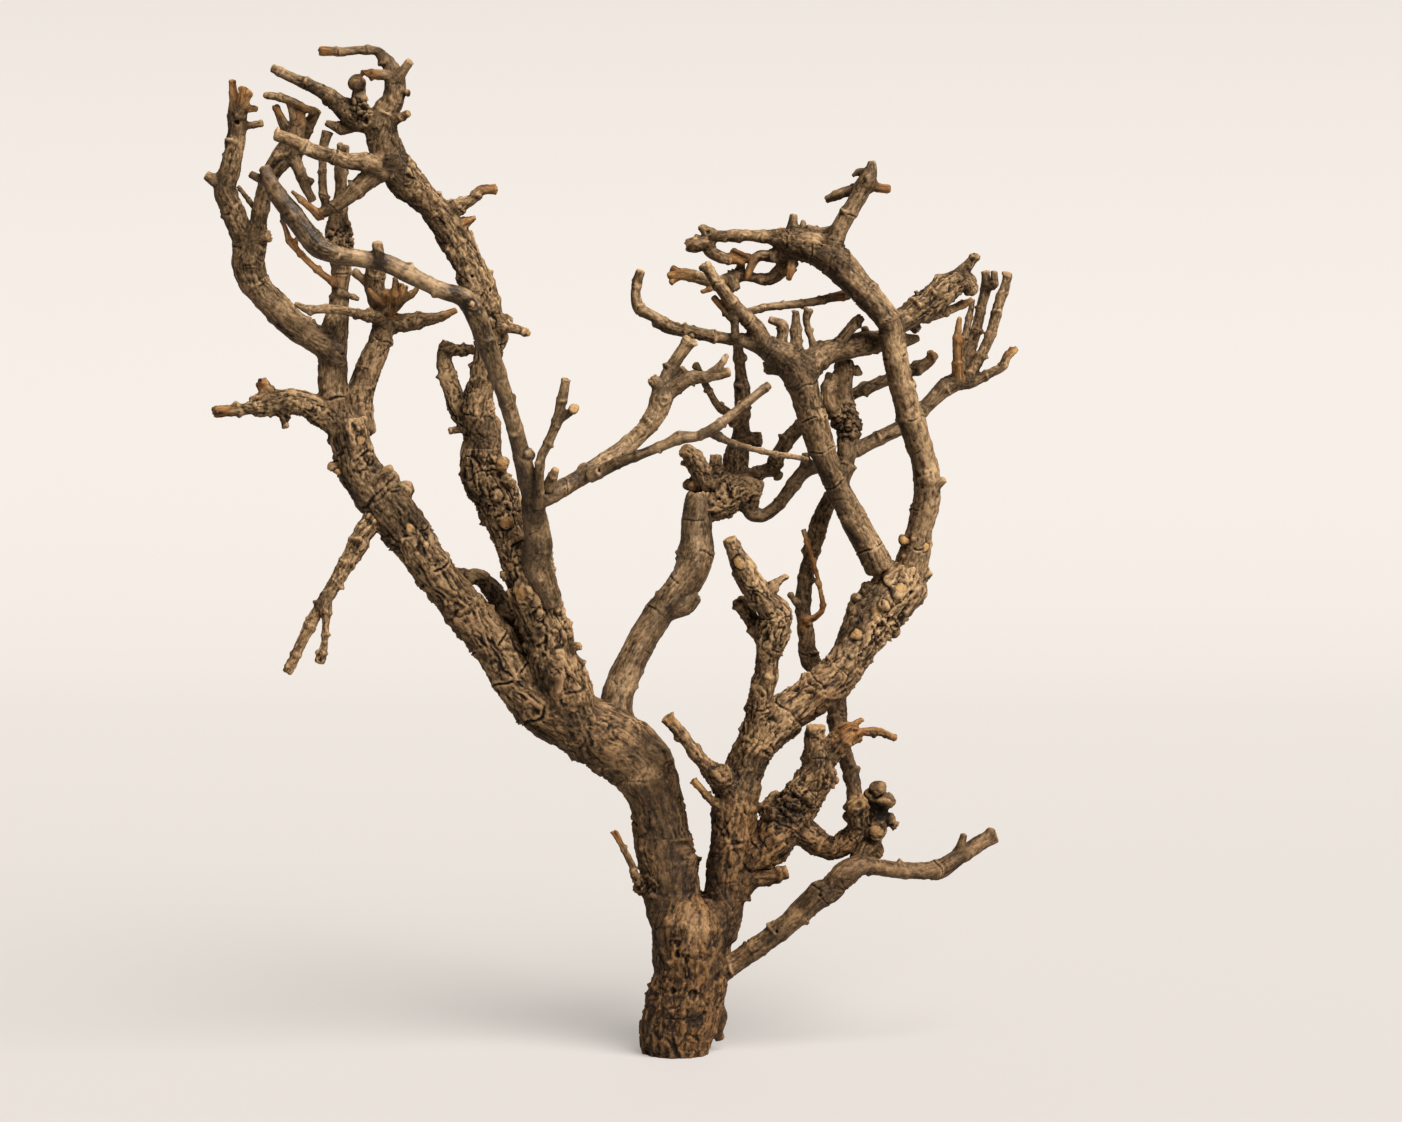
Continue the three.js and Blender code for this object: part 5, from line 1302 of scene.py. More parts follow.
@dataclass
class PaleBoughs(Piece):
    """The smooth pale bough that leans to the front, with the twigs that leave it to the right."""

    name: str = "pale_boughs"
    slot: str = "pale_bark"
    voxel: float = 0.42
    triangles: int = 85000
    tips: dict[Tip, tuple[str, ...]] = field(default_factory=lambda: {
        Tip.SAWN: ("straight_twig.twig", "front_bough.peg", "inner_bough.peg", "pale_twig.side",
                   "inner_bough.right_twig", "front_bough.bough"),
    })
    marks: list[Row] = field(default_factory=lambda: [
        (Scar.SWIRL, -13, 203, 2.6), (Scar.SWIRL, -5, 212, 3), (Scar.LIT, -57, 219, 3.6),
        (Scar.LIT, -54, 207, 3.6), (Scar.LIT, -102.5, 258.8, 3.4), (Scar.LIT, -88.5, 254.1, 3.4),
        (Scar.LIT, -78.4, 249.5, 3.4), (Scar.LIT, -130.6, 282.3, 3.5), (Scar.DULL, -122.3, 271.6, 4.5),
        (Scar.DULL, -116.5, 264, 4), (Scar.DULL, -74.5, 246.5, 3.5), (Scar.DULL, -66.1, 241.4, 4),
        (Scar.DULL, -62.8, 230.7, 4.5), (Scar.DULL, -98, 256, 2.6), (Scar.DULL, -126, 277, 3),
        (Scar.DISC, -67, 243.3, 0.9), (Scar.KNOB, -49, 194, 1.6), (Scar.PIT, -28, 190, 0.6),
    ])
    limbs: dict[str, Limb] = field(default_factory=lambda: {
        "front_bough": Limb(SLIM, Grain.PALE, {
            "bough": [
                (-42.5, 146, -19, 3.2), (-45.2, 152.5, -21.5, 4.6), (-47.5, 159, -24, 4.9),
                (-46.6, 165, -27, 4.5), (-47.8, 173, -31, 4.1), (-49, 182, -36, 3.5),
                (-51.5, 191.5, -42, 2.9), (-54.7, 204, -48, 2.6), (-58.8, 217, -54, 2.7),
                (-63.5, 230, -59, 3.3), (-66.8, 239, -61, 3.4), (-70.5, 244.8, -62, 3.2),
                (-78, 247.5, -63, 2.6), (-84, 250.2, -63, 2.6), (-90, 253.5, -64, 2.9),
                (-97, 256.7, -65, 3.1), (-105, 257.9, -66, 2.8), (-112, 259, -67, 2.9),
                (-118, 261.7, -67, 3.6), (-122.7, 267, -67, 3.4), (-127, 273, -67, 3.2), (-131, 278, -66, 3),
                (-134, 283.3, -65, 2.4), (-135.8, 287.5, -64, 1.7),
            ],
            "peg": [(-98.6, 257.5, -66, 2.1), (-99, 263.6, -67, 1.5)],
            "stub_low": [(-133.5, 282, -64, 1.9), (-140.4, 285.4, -62, 1.1)],
        }, knobs=[(-49.6, 194, -41, 2)]),
        "inner_bough": Limb(SLIM, Grain.SMOOTH, {
            "bough": [
                (-46.5, 179.5, -35, 3.2), (-40.5, 182.3, -32, 2.9), (-35, 185.5, -30, 2.8),
                (-28, 190, -27, 2.9), (-20, 195.5, -24, 2.8), (-13, 201.5, -21, 2.8),
                (-8.5, 207.5, -18, 3.2), (-6.6, 212.5, -16, 4), (-5.8, 216.5, -15, 3.1), (-4, 221, -14, 2.3),
                (-1, 226, -14, 2), (1.4, 229.5, -14, 2.1), (3, 231.8, -14, 2.3),
            ],
            "right_twig": [
                (-4, 215, -15, 3.3), (2, 218.8, -16, 2.4), (8, 219.4, -17, 1.9), (12, 220.1, -18, 1.5),
                (15.8, 221.2, -19, 1.6),
            ],
            "right_tip": [(9, 220.3, -17, 1.6), (12.4, 223.2, -18, 1.2), (15, 226.8, -18, 0.7)],
            "left_knob": [(-7, 216, -16, 2.7), (-9.7, 219, -17, 1.8)],
            "peg": [(-44, 183, -36, 2.2), (-40.8, 189.7, -39, 1.1)],
            "broken_top": [(-2, 219.5, -15, 2), (1, 222.2, -16, 1.2)],
        }),
        "straight_twig": Limb(1.0, Grain.PALE, {
            "twig": [
                (-30, 187, -31, 2.2), (-20, 191.8, -35, 1.8), (-12, 194.8, -36, 1.6), (-5, 197.6, -36, 1.7),
                (-0.5, 199.6, -36, 2.1), (5, 200.2, -36, 1.6), (10.3, 202.6, -36, 2), (14, 205.5, -35, 1.5),
                (21, 211, -34, 1.5), (28.6, 217.1, -33, 1.4),
            ],
            "side": [
                (10, 201, -35, 1.7), (15, 198.5, -31, 1.1), (20, 196.8, -27, 1), (28, 194.8, -20, 0.9),
                (36, 193.5, -12, 0.9), (41, 192.6, -7, 0.8),
            ],
        }),
        "pale_twig": Limb(1.0, Grain.SMOOTH, {
            "twig": [
                (-47, 177, -36, 2), (-46.4, 185, -41, 1.5), (-46, 192.5, -43, 1.5), (-43.5, 198, -43, 1.5),
                (-41, 204, -43, 1.7), (-39.2, 211, -43, 1.7), (-37.6, 219, -43, 1.4),
            ],
            "side": [(-40.3, 205, -43, 1.4), (-36, 208.3, -44, 1.2), (-35, 209.2, -46, 1.6)],
        }),
    })


@dataclass
class RearKnot(Piece):
    """The swollen knot behind the fork and the long boughs that reach right from it."""

    name: str = "rear_knot"
    slot: str = "dark_bark"
    voxel: float = 0.42
    triangles: int = 100000
    tips: dict[Tip, tuple[str, ...]] = field(default_factory=lambda: {
        Tip.SAWN: ("knot_m.cut_shoot", "fan.fourth", "fan.third", "reach_bough.tip"),
        Tip.SNAPPED: ("knot_m.broken", "fan.low", "rear_bough.bough"),
        Tip.RAW: ("fan.first",),
    })
    marks: list[Row] = field(default_factory=lambda: [
        (Scar.SWIRL, 16, 184, 5.5), (Scar.PIT, 22, 178, 1.3), (Scar.SWIRL, 86, 217, 2.6),
        (Scar.KNOB, 12, 190, 1.6),
    ])
    limbs: dict[str, Limb] = field(default_factory=lambda: {
        "knot_m": Limb(DEEP, Grain.KNOTTY, {
            "knot": [
                (7, 176, 20, 4), (12.5, 179, 22, 5.4), (16.5, 182.5, 23, 6.6), (20.5, 182, 24, 5.6),
                (24.6, 181.2, 24, 3.9),
            ],
            "crest": [(9, 184.5, 22, 4.6), (14, 187, 23, 4.6)],
            "cut_shoot": [
                (8.5, 184.5, 21, 3.8), (6, 189, 18, 3.5), (3.3, 193.5, 15, 2.8), (0.6, 196, 13, 2),
            ],
            "broken": [(6, 184.6, 21, 2.6), (2.2, 184.4, 20, 2.1), (0.2, 184, 20, 1)],
            "thumb": [(10.6, 188, 22, 2.6), (11, 194, 22, 1.8)],
        }, knobs=[(22, 177.6, 22, 2.8)]),
        "knot_shoot": Limb(DEEP, Grain.DARK, {
            "shoot": [
                (17, 187, 24, 4), (17.6, 193.5, 25, 3.9), (19, 199, 25, 2.8), (19.4, 206, 24, 2.4),
                (19.7, 213, 23, 2.5), (19, 220, 22, 1.8), (18.6, 226, 20, 1.6), (18, 231, 18, 1.5),
            ],
            "collar": [(20.5, 199, 24, 2.4), (25.8, 199.3, 23, 2)],
            "side_twig": [
                (18.5, 203.5, 23, 2), (14.6, 208, 20, 1.5), (11.8, 210, 17, 1.2), (8.4, 215.6, 13, 1.1),
                (6.2, 219.8, 8, 1.1), (4.4, 223.2, 4, 1.1),
            ],
        }),
        "rear_bough": Limb(DEEP, Grain.DARK, {
            "bough": [
                (20, 186, 25, 2.8), (25.5, 188.3, 26, 2.1), (29.4, 190, 27, 2.3), (31.4, 194, 27, 2.3),
                (35, 199.6, 28, 2.3), (40, 204.5, 29, 2.1), (47, 208.3, 29, 2.1), (55, 213.6, 28, 1.9),
                (62, 216.6, 27, 1.8), (70, 220, 25, 1.9), (77, 222.6, 22, 2.2), (81, 225.2, 20, 1.6),
                (80.5, 228, 19, 1),
            ],
            "tip": [(80, 224.5, 21, 1.7), (83, 226.8, 20, 0.8)],
        }, knobs=[(30.9, 187.8, 27, 2.1)]),
        "reach_bough": Limb(DEEP, Grain.SMOOTH, {
            "bough": [
                (21, 177.5, 22, 2.6), (23, 174.6, 21, 2.1), (27, 174.7, 21, 2), (31, 177.6, 22, 2),
                (35, 182.7, 24, 2.1), (39.2, 188, 26, 2.3), (44, 190.6, 27, 2.2), (51, 193, 28, 2.3),
                (58, 196.5, 29, 2.4), (64, 199.5, 30, 2.3), (71, 203, 31, 2.3), (77, 207.5, 32, 2.2),
                (82, 212.6, 33, 2.4), (86, 216.3, 34, 3.1), (90, 218.3, 34, 2.9),
            ],
            "tip": [(40, 189.5, 26, 2), (40.3, 194.8, 25, 1.2)],
        }),
        "fan": Limb(DEEP, Grain.STRANDED, {
            "low": [
                (88.5, 218, 34, 2.9), (93, 217.6, 34, 2.3), (96.5, 219, 34, 1.7), (100.5, 220.7, 33, 1.4),
                (104, 222.6, 33, 1.3), (106, 226.5, 33, 1.4), (109, 229, 33, 0.7),
            ],
            "first": [
                (89.5, 218.5, 33, 2.2), (89.4, 225, 30, 1.3), (89.5, 231.5, 28, 1.5), (90.2, 239, 26, 0.6),
            ],
            "second": [(91, 219, 35, 1.7), (91, 227, 37, 1.1), (92.8, 236, 38, 1.2), (94.6, 244.8, 38, 0.7)],
            "third": [
                (92, 219, 36, 2.1), (93.4, 227.5, 40, 1.8), (95.6, 234.5, 42, 1.7), (97.5, 243, 43, 1.6),
                (98.8, 249, 44, 1.7), (98.6, 254, 44, 1.2),
            ],
            "fourth": [
                (93, 219, 34, 2.2), (96.8, 225.5, 33, 1.6), (100.4, 233.5, 33, 1.6), (102.8, 242.5, 34, 1.7),
                (105, 248.5, 34, 1.5), (106, 253.6, 34, 1.2),
            ],
            "knuckle": [(98.9, 249, 43, 1.7), (101.2, 249.5, 41, 1.4), (101.4, 254, 41, 1)],
        }),
    })


@dataclass
class RightCrown(Piece):
    """The two tall boughs of the right crown and all that branches from their heads."""

    name: str = "right_crown"
    slot: str = "bark"
    voxel: float = 0.44
    triangles: int = 190000
    tips: dict[Tip, tuple[str, ...]] = field(default_factory=lambda: {
        Tip.SAWN: ("bough_c3.peg_right", "curl_bough.bough"),
        Tip.SNAPPED: ("upright_c4.peg_right", "crown_right.under_arm", "crown_right.peg",
                      "crown_low_arm.arm", "side_bough_c5.lower_twig", "curl_bough.long_arm",
                      "curl_bough.splinter", "crown_right.end_bar"),
        Tip.RAW: ("crown_right.slab", "crown_low_arm.jag", "crown_low_arm.jag_low", "crown_low_arm.loop"),
    })
    marks: list[Row] = field(default_factory=lambda: [
        (Scar.PIT, 8, 267.5, 0.8), (Scar.DISC, 72.4, 166, 1.7), (Scar.DISC, 80.3, 163.5, 1.5),
        (Scar.KNOB, 54, 203, 1.6), (Scar.KNOB, 56.5, 200, 1.5), (Scar.SWIRL, 46, 259, 3.5),
        (Scar.LIT, 79.5, 176, 6), (Scar.LIT, 80.5, 187, 6), (Scar.LIT, 78.5, 199, 6),
        (Scar.LIT, 75.5, 211, 6), (Scar.LIT, 71.5, 224, 6), (Scar.ROUGH, 55.5, 205, 5),
        (Scar.KNOB, 3, 231.5, 1.2), (Scar.SWIRL, 79, 186, 3),
    ])
    limbs: dict[str, Limb] = field(default_factory=lambda: {
        "bough_c2": Limb(DEEP, Grain.LEAN, {
            "bough": [
                (64.5, 157.5, 8, 4.7), (60.4, 165, 6, 4.3), (55.2, 174.5, 4, 4.1), (50.2, 184.5, 2, 3.9),
                (46.6, 193, 0, 4), (44, 201, -1, 4.5), (41.6, 209, -2, 4.5), (39.6, 215.5, -3, 5),
                (37, 221.5, -4, 5.7), (34.2, 226, -5, 5.2),
            ],
            "burl": [(32.5, 223.2, -2, 3), (26.8, 222.3, -1, 2.4)],
        }),
        "curl_bough": Limb(DEEP, Grain.LEAN, {
            "bough": [
                (34, 225.5, -5, 4.9), (28.5, 228.3, -6, 3.9), (24, 230.4, -6, 3.1), (19.5, 231.5, -6, 2.1),
                (14.5, 231.9, -6, 1.8), (9.5, 232.7, -6, 1.9), (4, 233.8, -6, 1.9), (-1, 234.7, -6, 1.9),
                (-5, 236, -6, 2.3), (-9, 238.9, -7, 1.7), (-13.6, 241.6, -7, 1.9), (-15, 245.5, -8, 1.6),
                (-14.6, 250, -8, 1.4), (-13.3, 254.2, -9, 1.5),
            ],
            "crossing": [
                (27, 229.5, -7, 3.4), (24, 235, -8, 2.9), (21, 238.5, -9, 2.3), (17.5, 242.2, -10, 2.2),
                (13.5, 247.2, -12, 2), (10, 252, -13, 1.9), (7.2, 256.3, -14, 1.7),
            ],
            "shoot": [
                (31.8, 226, -5, 3), (32.3, 231, -5, 1.9), (32.6, 236, -6, 1.6), (28.2, 238.2, -7, 1.1),
            ],
            "splinter": [(16, 238.4, -9, 1.3), (13.4, 241.6, -9, 1), (10.1, 245.6, -9, 1.2)],
            "upright": [(17.2, 232, -8, 1.4), (17.2, 237, -9, 1.3), (16.6, 242, -10, 1.7)],
            "long_arm": [
                (18.4, 239.2, -9, 1.6), (23, 240.9, -5, 1.2), (28, 242.1, -1, 1.2), (35, 242.8, 3, 1.3),
                (43, 243.9, 6, 1.3), (49, 245.2, 7, 1.4), (54.5, 246.3, 7, 1.7),
            ],
        }, knobs=[(3.8, 235.6, -6, 1.4)]),
        "fork_shoot": Limb(1.0, Grain.DARK, {
            "shoot": [(37, 227, -3, 2.6), (37.2, 233, -2, 1.9), (37, 241, -1, 0.9)],
        }),
        "bough_c2_right": Limb(DEEP, Grain.LEAN, {
            "bough": [
                (38.5, 220.5, -3, 5), (43, 224.6, -1, 4.4), (47.5, 227.3, 1, 3.9), (54, 229, 3, 3.7),
                (60, 230.4, 5, 3.7), (65, 231.2, 7, 3.4), (71, 231.2, 9, 2.6), (77, 232, 10, 0.9),
            ],
            "back_twig": [(44, 226.6, -1, 1.9), (42, 232, 0, 1), (40.4, 238, 1, 1.2), (41.2, 241.6, 1, 1.5)],
            "broken_arm": [(50.5, 228.5, 1, 2.4), (53.5, 233.5, 0, 1.8), (58.4, 239, 0, 1.5)],
        }, knobs=[(45, 230, 1, 1.5), (59.6, 234.3, 4, 1.5)]),
        "bough_c2_back": Limb(DEEP, Grain.LEAN, {
            "bough": [
                (51.3, 185.5, 5, 3.2), (53.2, 192, 8, 2.9), (53.7, 198, 10, 3.2), (54.3, 203.5, 10, 3.8),
                (53, 209, 10, 3.2), (52.2, 216, 9, 2.9), (52.6, 222, 8, 3.2), (53, 225, 7, 2.6),
            ],
            "filler": [(52, 206, 9, 3), (47.6, 212, 6, 2.8), (49.4, 220, 8, 2.6)],
            "spur": [(51.5, 203.7, 9, 1.5), (48.6, 204, 8, 1)],
        }, knobs=[(56.2, 221.7, 8, 1.9), (57, 201, 9, 1.6)]),
        "bough_c3": Limb(DEEP, Grain.LEAN, {
            "bough": [
                (73.4, 155.5, 11, 5.5), (76, 163, 9, 4.7), (77.4, 170.5, 7, 3.9), (79.3, 178, 5, 4.2),
                (79.6, 186, 3, 4.3), (77.8, 195, 1, 4), (75, 204, -1, 4.2), (72.2, 213.5, -3, 4),
                (70.2, 222, -5, 3.9), (68.5, 230, -6, 4.1), (68, 235.5, -6, 4.1), (64.6, 241, -6, 4.2),
                (59.5, 246.8, -5, 4.2), (54.5, 252, -4, 4.7), (49.8, 257, -3, 5.4), (45, 260.6, -2, 5.4),
            ],
            "peg_right": [(82, 183.5, 1, 1.8), (85.6, 186.3, -1, 1)],
        }, knobs=[(72.4, 166.2, 6, 1.9)]),
        "upright_c4": Limb(DEEP, Grain.LEAN, {
            "stem": [
                (48, 260, -4, 3.9), (50.4, 266, -5, 3), (53.4, 271.5, -6, 2.7), (56, 276, -7, 2.6),
                (58.4, 280.3, -7, 3), (60.6, 284, -8, 2.7), (61.6, 287, -8, 1.9), (61.6, 289.5, -8, 1.1),
            ],
            "peg_right": [(60.5, 282, -7, 2), (64.5, 280.8, -8, 1.4), (67.6, 280.5, -8, 1.4)],
            "slat_left": [(58, 280.8, -5, 2), (52.5, 279.3, -3, 1.6), (46.6, 276.9, -1, 1.2)],
            "splinter": [(60, 285.7, -7, 1.7), (57.5, 286, -6, 1.2), (55.4, 284.7, -6, 0.5)],
            "bridge": [(50.3, 267.6, -4, 1.4), (45, 267, -3, 1), (40.5, 267.8, -3, 1.4)],
        }),
        "crown_right": Limb(DEEP, Grain.STRANDED, {
            "hub": [
                (44.5, 261, -2, 5.2), (40, 262.4, -1, 5.2), (35.8, 263, 0, 5), (32, 264.2, 0, 3.2),
                (28, 264.9, 0, 2), (20, 265.4, 0, 1.7), (11.5, 265.2, 0, 1.8), (8.2, 266.4, 0, 1.7),
                (5.9, 268.6, 0, 1.1),
            ],
            "under_arm": [
                (34.5, 260.5, 1, 3.6), (29, 258.8, 2, 1.9), (24.5, 258.5, 2, 1.6), (21.5, 253, 2, 1.1),
                (20.8, 251, 2, 0.8),
            ],
            "end_bar": [
                (9.5, 265, 1, 1.9), (9, 260.8, 1, 2), (12.5, 258.4, 2, 1.9), (18, 257.4, 3, 1.5),
                (20.2, 256.3, 3, 1.3),
            ],
            "end_knob": [(8.5, 263.4, 0, 2.3), (4, 262.4, 0, 2.4), (1.6, 262.2, 0, 1.8)],
            "slab": [(22.5, 257.5, 3, 1.3), (16, 260.6, 2, 0.9)],
            "peg": [(36, 260, 1, 2), (35.5, 255, -1, 1.4), (34.6, 250.8, -3, 0.9)],
            "horn": [(36, 266.5, 0, 2), (36.3, 272.4, 0, 1)],
            "horn_small": [(39.3, 266.5, 0, 1.8), (39.4, 270.5, 0, 0.6)],
        }),
        "crown_low_arm": Limb(1.0, Grain.STRANDED, {
            "arm": [
                (35.5, 258, 4, 3.2), (32, 254, 6, 2.3), (28.5, 251.3, 7, 2), (24, 251.7, 7, 1.4),
                (19.5, 252.3, 6, 1.9), (15.5, 251, 5, 2.3), (10, 250.3, 3, 1.7), (5, 251.8, 2, 1.9),
                (0, 252.8, 1, 2), (-4.8, 252.4, 0, 0.8),
            ],
            "stub_down": [(16.5, 250, 4, 2.1), (17.7, 247.6, 3, 1.5)],
            "post": [(18.6, 253, 6, 1.6), (19.4, 256.6, 7, 1.3)],
            "loop": [(10.5, 249.2, 3, 1.1), (9, 248, 2, 0.8), (6, 246.9, 2, 0.7)],
            "jag": [(-0.5, 253.2, 1, 1.5), (-3.6, 255, 0, 0.8)],
            "jag_low": [(-1, 252, 1, 1.3), (-4, 249.8, 0, 0.7)],
        }),
        "side_bough_c5": Limb(DEEP, Grain.SCALY, {
            "bough": [
                (68.5, 236, -4, 3.9), (73.5, 239, -3, 4), (78, 242.3, -2, 4.5), (83, 246, -1, 4.6),
                (88, 249.6, 0, 4.2), (91.6, 250.9, 0, 3.2), (93.8, 248.8, 0, 2.3),
            ],
            "tip": [(90, 252.5, 0, 2.6), (93, 255.8, -1, 1.6), (96.2, 259.3, -2, 1.1)],
            "lower_twig": [
                (78, 238.8, 1, 2.2), (83, 239.4, 3, 1.2), (88, 241.6, 5, 1.3), (92, 243.3, 6, 1.1),
                (94.4, 244.6, 7, 0.8),
            ],
            "heel": [(74, 238, -1, 2.6), (76.6, 234.8, 1, 1.6)],
        }, knobs=[(76.6, 246.2, -3, 2), (93.6, 248.4, 0, 2.6)]),
    })


@dataclass
class LowerLimbs(Piece):
    """The stubs, the knotty burl and the low boughs on the right of the fork."""

    name: str = "lower_limbs"
    slot: str = "bark"
    voxel: float = 0.44
    triangles: int = 160000
    tips: dict[Tip, tuple[str, ...]] = field(default_factory=lambda: {
        Tip.SAWN: ("stub_c1.stub", "burl_e.peg", "lower_bough.bough", "stub_c1.spur"),
        Tip.SNAPPED: ("burl_e.broken",),
        Tip.RAW: ("burl_e.splinter_up", "burl_e.splinter_low", "burl_e.dry_twig", "rear_stem_j.peeling"),
    })
    marks: list[Row] = field(default_factory=lambda: [
        (Scar.DISC, 18, 158, 1.8), (Scar.KNOB, 58.1, 80.8, 3.4), (Scar.KNOB, 67.8, 82.8, 2.8),
        (Scar.KNOB, 63.9, 86.7, 2.8), (Scar.KNOB, 64.5, 71.7, 2), (Scar.DULL, 64.5, 71.7, 4),
        (Scar.DULL, 61, 82, 6), (Scar.DULL, 67.5, 84, 6), (Scar.DULL, 67, 76, 5),
        (Scar.PIT, 58.3, 80.8, 0.7), (Scar.KNOB, 68.8, 76.9, 2), (Scar.SHADE, 34, 80, 8),
        (Scar.ROUGH, 34, 82, 6), (Scar.PIT, 30, 84, 2.2), (Scar.PIT, 27.5, 79, 1.8),
        (Scar.KNOB, 36, 82, 2.6), (Scar.KNOB, 42, 82, 2), (Scar.ROUGH, 49.5, 88.5, 3),
        (Scar.SWIRL, 29, 140, 3), (Scar.PIT, 30, 40, 0.6), (Scar.PIT, 45, 52, 0.7), (Scar.SHADE, 30, 38, 5),
        (Scar.SHADE, 44, 49, 6), (Scar.KNOB, 28.5, 78, 2.5),
    ])
    limbs: dict[str, Limb] = field(default_factory=lambda: {
        "stub_c1": Limb(DEEP, Grain.KNOTTY, {
            "stub": [
                (23.5, 102, -1, 4.2), (25.2, 112, -3, 4), (26.8, 120, -4, 3.7), (27.4, 125, -5, 3.6),
                (28.2, 130, -5, 4.1), (30, 137, -6, 5.1), (30.5, 141.5, -6, 5), (28.4, 145, -7, 4.4),
                (24.2, 150, -8, 4), (20.5, 156, -9, 3.6), (17.5, 162, -10, 2.8), (15.3, 167, -11, 2.2),
            ],
            "spur": [
                (28.5, 147, -8, 2.3), (29.5, 151, -9, 1.7), (32, 153.5, -10, 1.1), (34.5, 154.7, -10, 0.9),
            ],
            "rear": [(26, 134, -2, 2.4), (23.5, 139, 0, 2.4), (21, 143, 1, 2.4), (18, 147.3, 2, 2.1)],
            "jag": [(17, 161, -10, 1.6), (18.7, 166, -10, 0.7)],
        }),
        "burl_e": Limb(DEEP, Grain.KNOTTY, {
            "limb": [
                (21, 61, -3, 4.6), (26, 66, -3, 5.6), (31, 71.5, -3, 6.8), (35, 77, -3, 7),
                (39.5, 84, -3, 5.8), (43.5, 90, -3, 5.6), (44.8, 95, -3, 5.2), (45.2, 98, -3, 4.4),
            ],
            "peg": [(43, 95, -4, 3.2), (43.2, 101, -5, 3.1), (43.4, 106, -6, 2.7)],
            "broken": [(46.5, 95.5, -3, 4), (50, 99.5, -4, 4.1), (54, 103.5, -5, 3.7), (57.2, 104.5, -6, 2)],
            "splinter_up": [(54, 104.5, -6, 1.8), (56.5, 106.7, -6, 1.1), (59, 108.4, -6, 0.5)],
            "dry_twig": [(57, 104, -6, 1.4), (64, 104, -5, 1.3), (69.6, 101.8, -4, 0.9)],
            "arm": [
                (36, 73, -2, 5), (41, 70.5, -3, 4.3), (46, 67, -4, 3.7), (50.5, 66.3, -5, 3.5),
                (54, 69, -6, 3.5), (56.8, 73.5, -8, 3.1), (57.3, 78, -12, 3.3),
            ],
            "splinter_low": [(55, 102, -6, 2), (58.5, 101.2, -6, 0.9)],
        }, knobs=[(28.5, 78, -2, 3.8), (31.5, 82, -1, 3.2), (57, 80, -13, 3.6), (49.3, 88.5, -3, 1.6)]),
        "rear_stem_j": Limb(1.0, Grain.DARK, {
            "stem": [
                (56.5, 78, -4, 2.6), (56, 83.5, -2, 2.4), (55, 90, 1, 2.4), (52.5, 98, 6, 2.4),
                (50.8, 106, 10, 3), (50.3, 112, 14, 3.2), (50, 118, 18, 2.6), (45.5, 122, 21, 2.6),
                (41.6, 128, 21, 3), (40.4, 135, 20, 2.4), (39.8, 140, 20, 2.3), (39.3, 146, 20, 2.6),
                (40.2, 154, 20, 2.2), (41.5, 160, 20, 2.3), (43.5, 168, 19, 2.9), (46, 175, 18, 2.7),
                (49.2, 181.5, 17.5, 2.3), (51.5, 186, 17.5, 1.9),
            ],
            "spur": [(39, 144.5, 19, 1.6), (36.5, 147, 18, 1.1), (34.8, 149.4, 18, 0.8)],
            "peeling": [
                (40.2, 140, 18, 1.5), (43.5, 141.5, 16, 1), (45.6, 144, 15, 0.8), (45, 150, 14, 0.7),
                (43, 158, 14, 0.7), (40.6, 166, 14, 0.7), (39.4, 170, 14, 0.7),
            ],
        }),
        "lower_bough": Limb(DEEP, Grain.LEAN, {
            "bough": [
                (11, 25, -2, 3.7), (17, 29, -3, 3.3), (25, 34.7, -5, 3.3), (35, 42.2, -7, 3.4),
                (45, 51.3, -9, 4.1), (48, 53, -9, 3.9), (54, 58.5, -10, 4), (58.5, 60.8, -9, 3.3),
                (64, 60, -8, 2.6), (72, 59, -6, 2.5), (80, 59, -4, 2.7), (84, 59.6, -3, 3),
                (90, 63.5, -1, 2.6), (96, 67.5, 2, 2.5), (101.5, 70.6, 4, 2.4),
            ],
            "spur": [(89.5, 63.5, -1, 1.9), (90.8, 67.5, -2, 1.4), (91.7, 71, -2, 1.1)],
        }),
        "lower_cluster": Limb(1.0, Grain.KNOTTY, {
            "stem": [
                (56.5, 60, -8, 3.2), (58.5, 64, -5, 3.1), (61, 68, -2, 3.1), (63, 73, -1, 3.4),
                (63.5, 78, -1, 3.5), (62.6, 82.5, -2, 3.2), (62.2, 85, -3, 3),
            ],
            "peg": [(62, 70, -3, 2.1), (63.2, 70.6, -9, 1.9)],
            "spur": [(65, 77, -1, 2.2), (67.3, 75, -1, 1.6), (69.8, 73.3, -2, 1.1)],
            "peg_top": [(63, 85, -3, 2), (65.5, 85.6, -5, 1.6)],
            "hip": [(61.5, 68, -1, 2.6), (63.3, 66, -1, 2.2), (62.8, 63.6, -2, 1.5)],
        }, knobs=[(65.6, 81.3, -4, 3)]),
    })


